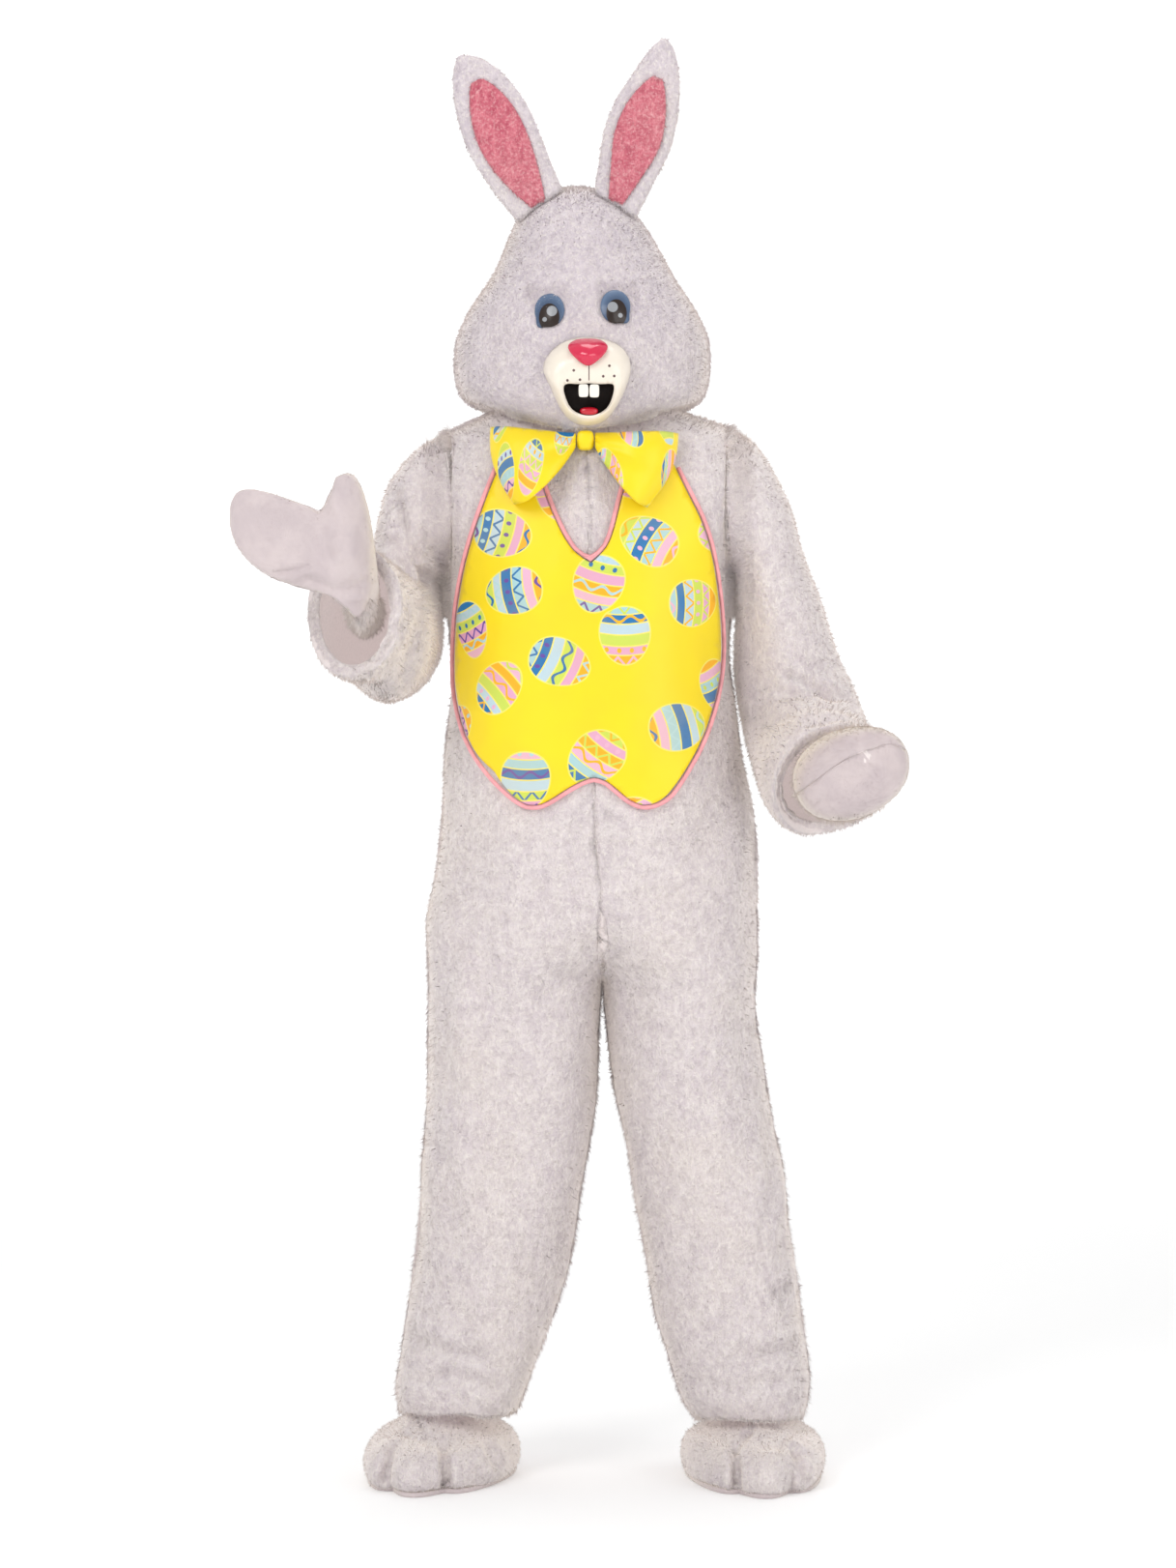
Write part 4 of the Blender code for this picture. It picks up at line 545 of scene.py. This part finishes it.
def finer(name, level):
    # the node's mesh with its points joined and rims kept sharp, subdivided
    mesh = nodes[name].data.copy()
    bm = bmesh.new()
    bm.from_mesh(mesh)
    bmesh.ops.remove_doubles(bm, verts=bm.verts, dist=1e-5)
    crease = bm.edges.layers.float.new("crease_edge")
    for edge in bm.edges:
        if len(edge.link_faces) == 2 and edge.calc_face_angle(0) > math.radians(62):
            edge[crease] = 1.0
    bm.to_mesh(mesh)
    bm.free()
    holder = bpy.data.objects.new("holder", mesh)
    scene.collection.objects.link(holder)
    smoother = holder.modifiers.new("finer", "SUBSURF")
    smoother.levels = smoother.render_levels = level
    ready = holder.evaluated_get(bpy.context.evaluated_depsgraph_get())
    made = bpy.data.meshes.new_from_object(ready)
    bpy.data.objects.remove(holder)
    return made


def meshArrays(mesh):
    points = np.zeros(len(mesh.vertices) * 3)
    mesh.vertices.foreach_get("co", points)
    normals = np.zeros(len(mesh.vertices) * 3, np.float32)
    mesh.vertex_normals.foreach_get("vector", normals)
    return points.reshape(-1, 3), normals.reshape(-1, 3).astype(float)


def addPiece(name, mesh, material, slot, *stands):
    mesh.materials.clear()
    mesh.materials.append(material)
    mesh.shade_smooth()
    piece = bpy.data.objects.new(name, mesh)
    scene.collection.objects.link(piece)
    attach(piece, "root")
    if stands:
        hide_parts(*stands)
    return piece


def coverTree():
    # what lies on the suit's front: the waistcoat front, its piping and the bow
    points, faces = [], []
    for name in ("bib", "piping_edge", "piping_neck"):
        mesh = nodes[name].data
        start = len(points)
        points += [v.co.copy() for v in mesh.vertices]
        faces += [tuple(start + k for k in p.vertices) for p in mesh.polygons]
    return BVHTree.FromPolygons(points, faces)


covers = coverTree()
# Under what lies on it the suit keeps still and sinks a little; no pile grows there
covered = {"reach": 0.03, "still": 0.008, "blend": 0.02, "sink": 0.0012,
           "pileReach": 0.02, "bare": 0.006}
seamFill = 0.0003  # each side of a seam grows by this, so that no light shows through


def coverGap(points, reach):
    # how far in front of each point something lies, up to reach, seen from the front
    gaps = np.full(len(points), reach)
    for k in np.nonzero((points[:, 1] < -0.03) & (points[:, 2] > -0.56)
                        & (abs(points[:, 0]) < 0.21))[0]:
        near = covers.find_nearest(Vector(points[k]), reach)[3]
        if near is not None:
            gaps[k] = near
    return gaps


insideBelow = -0.45  # outwardness of a face that looks into the hollow


def lineInside(piece, line):
    # faces that look into the hollow show the plush's knit back
    mesh = piece.data
    mesh.materials.append(knitBacking)
    count = len(mesh.polygons)
    middles, normals = np.zeros(count * 3), np.zeros(count * 3)
    mesh.polygons.foreach_get("center", middles)
    mesh.polygons.foreach_get("normal", normals)
    away = outwardness(middles.reshape(-1, 3), normals.reshape(-1, 3), coreLines[line])
    mesh.polygons.foreach_set("material_index", (away < insideBelow).astype(np.int32))


def skin(name, line, level, folds, material, slot, lines=()):
    mesh = finer(name, level)
    points, normals = meshArrays(mesh)
    lift = drape(points, folds) if folds else np.zeros(len(points))
    away = np.ones(len(points))
    if line:
        away = np.sign(outwardness(points, normals, coreLines[line]))
    if lines:
        lift += creaseDepth(points, normals * away[:, None], lines)
    if name.startswith("front"):
        gap = coverGap(points, covered["reach"])
        free = np.clip((gap - covered["still"]) / covered["blend"], 0, 1)
        lift = lift * free - covered["sink"] * (1 - free)
    points += normals * (lift * away + (seamFill if line else 0))[:, None]
    mesh.vertices.foreach_set("co", points.ravel())
    mesh.update()
    piece = addPiece(name + "_skin", mesh, material, slot, name)
    if line:
        lineInside(piece, line)
    return piece


# Pile: thin pointed tufts that lean down the cloth, and forward where it is level
pileLook = {"width": 0.0014, "length": 0.0085, "lift": 0.36, "fall": 0.80, "stray": 0.30,
            "rim": -0.35, "way": (0, -0.35, -0.94), "root": 0.0006}


def growPile(piece, line, count, seed, material, length=1.0, where=None, fall=None):
    # where is a box that the tufts keep to, and fall the way they lie in it
    luck = np.random.default_rng(seed)
    mesh = piece.data
    mesh.calc_loop_triangles()
    points, normals = meshArrays(mesh)
    corners = np.zeros(len(mesh.loop_triangles) * 3, np.int32)
    mesh.loop_triangles.foreach_get("vertices", corners)
    corners = corners.reshape(-1, 3)
    a, b, c = (points[corners[:, k]] for k in range(3))
    across = np.cross(b - a, c - a)
    area = np.linalg.norm(across, axis=1) / 2
    facing = across / np.maximum(2 * area, 1e-12)[:, None]
    if line:
        away = outwardness((a + b + c) / 3, facing, coreLines[line])
        area = area * (away > pileLook["rim"])
    if piece.name.startswith("front"):
        area = area * (coverGap((a + b + c) / 3, covered["pileReach"]) > covered["bare"])
    if where:
        low, high = where
        middle = (a + b + c) / 3
        area = area * ((middle > low) & (middle < high)).all(axis=1)
    chosen = luck.choice(len(area), count, p=area / area.sum())
    r1, r2 = np.sqrt(luck.random(count)), luck.random(count)
    weights = np.stack([1 - r1, r1 * (1 - r2), r1 * r2], axis=1)
    roots = (points[corners[chosen]] * weights[:, :, None]).sum(axis=1)
    up = (normals[corners[chosen]] * weights[:, :, None]).sum(axis=1)
    up /= np.linalg.norm(up, axis=1, keepdims=True)
    fall = np.array(fall or pileLook["way"])
    down = fall - up * (up @ fall)[:, None]
    down /= np.maximum(np.linalg.norm(down, axis=1, keepdims=True), 0.3)
    way = up * pileLook["lift"] + down * pileLook["fall"]
    way += luck.normal(size=way.shape) * pileLook["stray"]
    way /= np.linalg.norm(way, axis=1, keepdims=True)
    side = np.cross(way, up)
    side /= np.maximum(np.linalg.norm(side, axis=1, keepdims=True), 1e-6)
    size = pileLook["length"] * length * luck.uniform(0.65, 1.25, count)[:, None]
    half = side * pileLook["width"] / 2 * luck.uniform(0.7, 1.3, count)[:, None]
    roots -= up * pileLook["root"]
    tufts = np.stack([roots - half, roots + half, roots + way * size], axis=1).reshape(-1, 3)
    made = bpy.data.meshes.new(piece.name + "_pile")
    made.vertices.add(3 * count)
    made.vertices.foreach_set("co", tufts.ravel())
    made.loops.add(3 * count)
    made.loops.foreach_set("vertex_index", np.arange(3 * count, dtype=np.int32))
    made.polygons.add(count)
    made.polygons.foreach_set("loop_start", np.arange(0, 3 * count, 3, dtype=np.int32))
    made.update(calc_edges=True)
    made.normals_split_custom_set_from_vertices(np.repeat(up, 3, axis=0).astype(np.float32))
    name = piece.name.replace("_skin", "_pile")
    if where:
        name = piece.name.replace("_skin", f"_trim{seed}")
    tuft = bpy.data.objects.new(name, made)
    made.materials.append(material)
    tuft.visible_shadow = False  # real pile lets light through
    scene.collection.objects.link(tuft)
    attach(tuft, "root")
    return tuft


suit = {"folds": 1.0, "panelTufts": 57000, "sleeveTufts": 38000, "seamTufts": 6000}
# Where the sleeves are set in, pile lies across the seam from both sides
armhole = {"x": 0.2045, "past": 0.004, "sleeve": 0.024, "panel": 0.016, "z": (-0.26, 0.03),
           "length": 1.9}


def acrossArmhole(piece, side, part):
    # tufts in the band beside the seam, on the sleeve or on the panel
    sign = 1 if side == "left" else -1
    if part == "panel":
        inner, outer, way, line = armhole["panel"], armhole["past"], sign, side
    else:
        inner, outer, way, line = armhole["past"], armhole["sleeve"], -sign, f"sleeve_{side}"
    low, high = sorted((sign * (armhole["x"] - inner), sign * (armhole["x"] + outer)))
    box = ((low, -1, armhole["z"][0]), (high, 1, armhole["z"][1]))
    return growPile(piece, line, suit["seamTufts"], 41 + way, whiteFur,
                    armhole["length"], box, (way, -0.1, -0.5))


for side in ("right", "left"):
    for face in ("front", "back"):
        name = f"{face}_{side}"
        lines = creases[side] if face == "front" else ()
        piece = skin(name, side, 2, suit["folds"], whiteFur, "plush", lines)
        pile = growPile(piece, side, suit["panelTufts"], len(name) + len(side), whiteFur)
        seam = acrossArmhole(piece, side, "panel")
    name = f"sleeve_{side}"
    piece = skin(name, name, 2, suit["folds"], whiteFur, "plush", creases[name])
    pile = growPile(piece, name, suit["sleeveTufts"], 31 + len(side), whiteFur)
    seam = acrossArmhole(piece, side, "sleeve")
print("suit made")

headSize = {"folds": 0.5, "headTufts": 50000, "earTufts": 13000, "liningTufts": 5000,
            "lashTufts": 900}
browPlaces = {"right": ((-0.084, -0.2, 0.150), (-0.028, -0.1, 0.178)),
              "left": ((0.010, -0.2, 0.156), (0.066, -0.1, 0.184))}
for face in ("front", "back"):
    piece = skin(f"head_{face}", "head", 2, headSize["folds"], headFur, "plush")
    growPile(piece, "head", headSize["headTufts"], 51 + len(face), headFur, 0.8)
    if face == "front":
        for side, spot in browPlaces.items():
            growPile(piece, "head", headSize["lashTufts"], 55 + len(side), headFur, 1.1,
                     spot)
for side in ("right", "left"):
    piece = skin(f"ear_{side}", None, 2, 0.0, headFur, "plush")
    growPile(piece, None, headSize["earTufts"], 61 + len(side), headFur, 0.7)
    piece = skin(f"ear_lining_{side}", None, 1, 0.0, pinkFur, "pink_plush")
    pile = growPile(piece, None, headSize["liningTufts"], 81 + len(side), pinkFur,
                    0.5)
print("head made")

# Boxes round the long pile at the mitts' wrists, and round the short nap past them
wrists = {"right": ((-0.345, -0.310, -0.305), (-0.255, -0.170, -0.245)),
          "left": ((0.270, -0.215, -0.550), (0.400, -0.100, -0.410))}
naps = {"right": ((-0.500, -0.400, -0.300), (-0.260, -0.240, -0.060)),
        "left": ((0.250, -0.400, -0.560), (0.460, -0.225, -0.400))}
limbs = {"shoeFolds": 0.4, "shoeTufts": 20000, "fringeTufts": 2500, "napTufts": 7000}
for side in ("right", "left"):
    line = "shoe_" + side
    piece = skin(f"shoe_cover_{side}", line, 2, limbs["shoeFolds"], whiteFur, "plush",
                 creases[line])
    growPile(piece, line, limbs["shoeTufts"], 71 + len(side), whiteFur, 0.7)
    line = "mitt_" + side
    for half in ("palm", "back"):
        piece = skin(f"mitt_{half}_{side}", line, 2, 0.0, shortNap, "nap", creases[line])
        fringe = growPile(piece, line, limbs["fringeTufts"], 91 + len(half), whiteFur,
                          1.4, wrists[side])
        nap = growPile(piece, line, limbs["napTufts"], 101 + len(half), shortNap, 0.34,
                       naps[side])
    piece = skin(f"shoe_sole_{side}", None, 1, 0.0, shortNap, "nap")
print("shoe covers and mitts made")


def addMap(piece, radius):
    # a flat map of the cloth in metres: round the chest, and up
    mesh = piece.data
    points, _ = meshArrays(mesh)
    round_ = np.arctan2(points[:, 0] / radius[0], -points[:, 1] / radius[1])
    flat = np.stack([round_ * (radius[0] + radius[1]) / 2, points[:, 2]], axis=1)
    layer = mesh.uv_layers.new(name="flat")
    corners = np.zeros(len(mesh.loops), np.int32)
    mesh.loops.foreach_get("vertex_index", corners)
    layer.data.foreach_set("uv", flat[corners].astype(np.float32).ravel())


def pleat(piece, knot, depth):
    # folds that fan out from the knot; they only rise toward the front
    points, _ = meshArrays(piece.data)
    dx, dz = points[:, 0] - knot[0], points[:, 2] - knot[1]
    far = np.hypot(dx, dz)
    fan = np.sin(np.arctan2(dz, abs(dx)) * 9.0 + 0.8) + 0.5 * np.sin(far * 120)
    strongest, spread = 0.035, 0.05
    points[:, 1] -= depth * (1 + fan / 1.5) * np.exp(-((far - strongest) / spread) ** 2)
    piece.data.vertices.foreach_set("co", points.ravel())
    piece.data.update()


# Half widths, across and deep, of the round form that each flat map unrolls
mapRadius = {"bib": (0.199, 0.170), "bow": (0.40, 0.40)}
bow = {"knot": (-0.0045, -0.036), "depth": 0.0024}
bibPiece = skin("bib", None, 2, 0.0, printedSatin, "yellow_satin")
addMap(bibPiece, mapRadius["bib"])
for side in ("right", "left"):
    piece = skin(f"bow_{side}", None, 2, 0.0, printedSatin, "yellow_satin")
    addMap(piece, mapRadius["bow"])
    pleat(piece, bow["knot"], bow["depth"])
knot = skin("bow_knot", None, 2, 0.0, printedSatin, "yellow_satin")
addMap(knot, mapRadius["bow"])
pipings = [skin(name, None, 1, 0.0, pinkSatin, "pink_satin")
           for name in ("piping_edge", "piping_neck")]
print("waistcoat front and bow made")

eyes = {
    "right": {"pupil": (-0.0522, 0.1330), "size": (0.0139, 0.0190), "corner": (-0.0697, 0.1176),
              "glints": [((-0.0486, 0.1414), 0.0070), ((-0.0583, 0.1302), 0.0031)]},
    "left": {"pupil": (0.0384, 0.1390), "size": (0.0138, 0.0189), "corner": (0.0566, 0.1238),
             "glints": [((0.0332, 0.1470), 0.0070), ((0.0436, 0.1358), 0.0031)]},
}
corner = {"radius": 0.021, "draw": 0.24, "spread": 0.30}


def pointCorner(piece, tip):
    # the eye's outline is drawn out to a point at its lower outer corner
    points, _ = meshArrays(piece.data)
    flat = points[:, [0, 2]]
    middle = (flat.min(axis=0) + flat.max(axis=0)) / 2
    aim = np.array(tip) - middle
    away = flat - middle
    turn = np.arctan2(away[:, 1], away[:, 0]) - math.atan2(aim[1], aim[0])
    turn = (turn + math.pi) % (2 * math.pi) - math.pi
    share = np.clip(np.linalg.norm(away, axis=1) / corner["radius"], 0, 1) ** 2
    drawn = corner["draw"] * np.exp(-(turn / corner["spread"]) ** 2) * share
    points[:, [0, 2]] += away * drawn[:, None]
    piece.data.vertices.foreach_set("co", points.ravel())
    piece.data.update()


for side, look in eyes.items():
    piece = skin(f"eye_{side}", None, 2, 0.0, eyeFinish("eye " + side, look), "eye_plastic")
    pointCorner(piece, look["corner"])
for name, material, slot in (
        ("muzzle", muzzlePlastic, "cream_plastic"), ("nose", nosePlastic, "red_plastic"),
        ("tongue", tonguePlastic, "red_plastic"), ("tooth_right", toothPlastic, "white_plastic"),
        ("tooth_left", toothPlastic, "white_plastic"),
        ("mouth_lining", mouthPlastic, "black_plastic")):
    skin(name, None, 2, 0.0, material, slot)
print("face made")


# Floor, backdrop and lights

studio = {"floor": -1.4605, "back": 14, "side": 120, "wall": 9, "steps": 8,
          "pale": (0.94, 0.94, 0.94), "sky": 0.68,
          "near": (0.12, 0.12, 0.12), "far": (0.42, 0.42, 0.42), "fade": (1.8, 7.0)}
profile = [(-studio["side"], 0), (studio["back"] - 1, 0)]
for k in range(1, studio["steps"] + 1):
    angle = math.pi / 2 * k / studio["steps"]
    profile.append((studio["back"] - 1 + math.sin(angle), 1 - math.cos(angle)))
profile.append((studio["back"], studio["wall"]))
floorMesh = bpy.data.meshes.new("floor")
floorMesh.from_pydata([(x, y, z + studio["floor"]) for x in (-studio["side"], studio["side"])
                       for y, z in profile], [],
                      [(k, k + 1, len(profile) + k + 1, len(profile) + k)
                       for k in range(len(profile) - 1)])
floorMesh.shade_smooth()
floor = bpy.data.objects.new("floor", floorMesh)
scene.collection.objects.link(floor)
floorPaint, shader, place = newMaterial("pale floor", {
    "Roughness": 0.9, "Emission Strength": 1.0})
x, y, _ = place.split()  # the floor glows, a painted light that is weaker near the costume and stronger away from it
plug(shader, "Emission Color", (x * x + y * y).root().soft(*studio["fade"]).blend(
    studio["near"], studio["far"]))
plug(shader, "Base Color", place.noise(0.5, 1).blend(
    studio["pale"], [c * 0.985 for c in studio["pale"]]))
floorMesh.materials.append(floorPaint)

world = bpy.data.worlds.new("studio")
world.use_nodes = True
world.node_tree.nodes["Background"].inputs["Color"].default_value = (1, 1, 1, 1)
world.node_tree.nodes["Background"].inputs["Strength"].default_value = studio["sky"]
scene.world = world

lamps = {
    "key": {"place": (-2.6, -4.2, 2.4), "aim": (0, 0, -0.5), "size": 2.2, "power": 88},
    "fill": {"place": (3.4, -3.6, 0.8), "aim": (0, 0, -0.6), "size": 2.6, "power": 48},
    "top": {"place": (0.4, 0.8, 3.4), "aim": (0, 0, -0.4), "size": 2.0, "power": 36},
}
for name, lamp in lamps.items():
    data = bpy.data.lights.new(name, "AREA")
    data.energy = lamp["power"]
    data.size = lamp["size"]
    light = bpy.data.objects.new(name, data)
    light.location = lamp["place"]
    light.rotation_euler = (Vector(lamp["aim"]) - Vector(lamp["place"])).to_track_quat(
        "-Z", "Y").to_euler()
    scene.collection.objects.link(light)

print("scene ready")
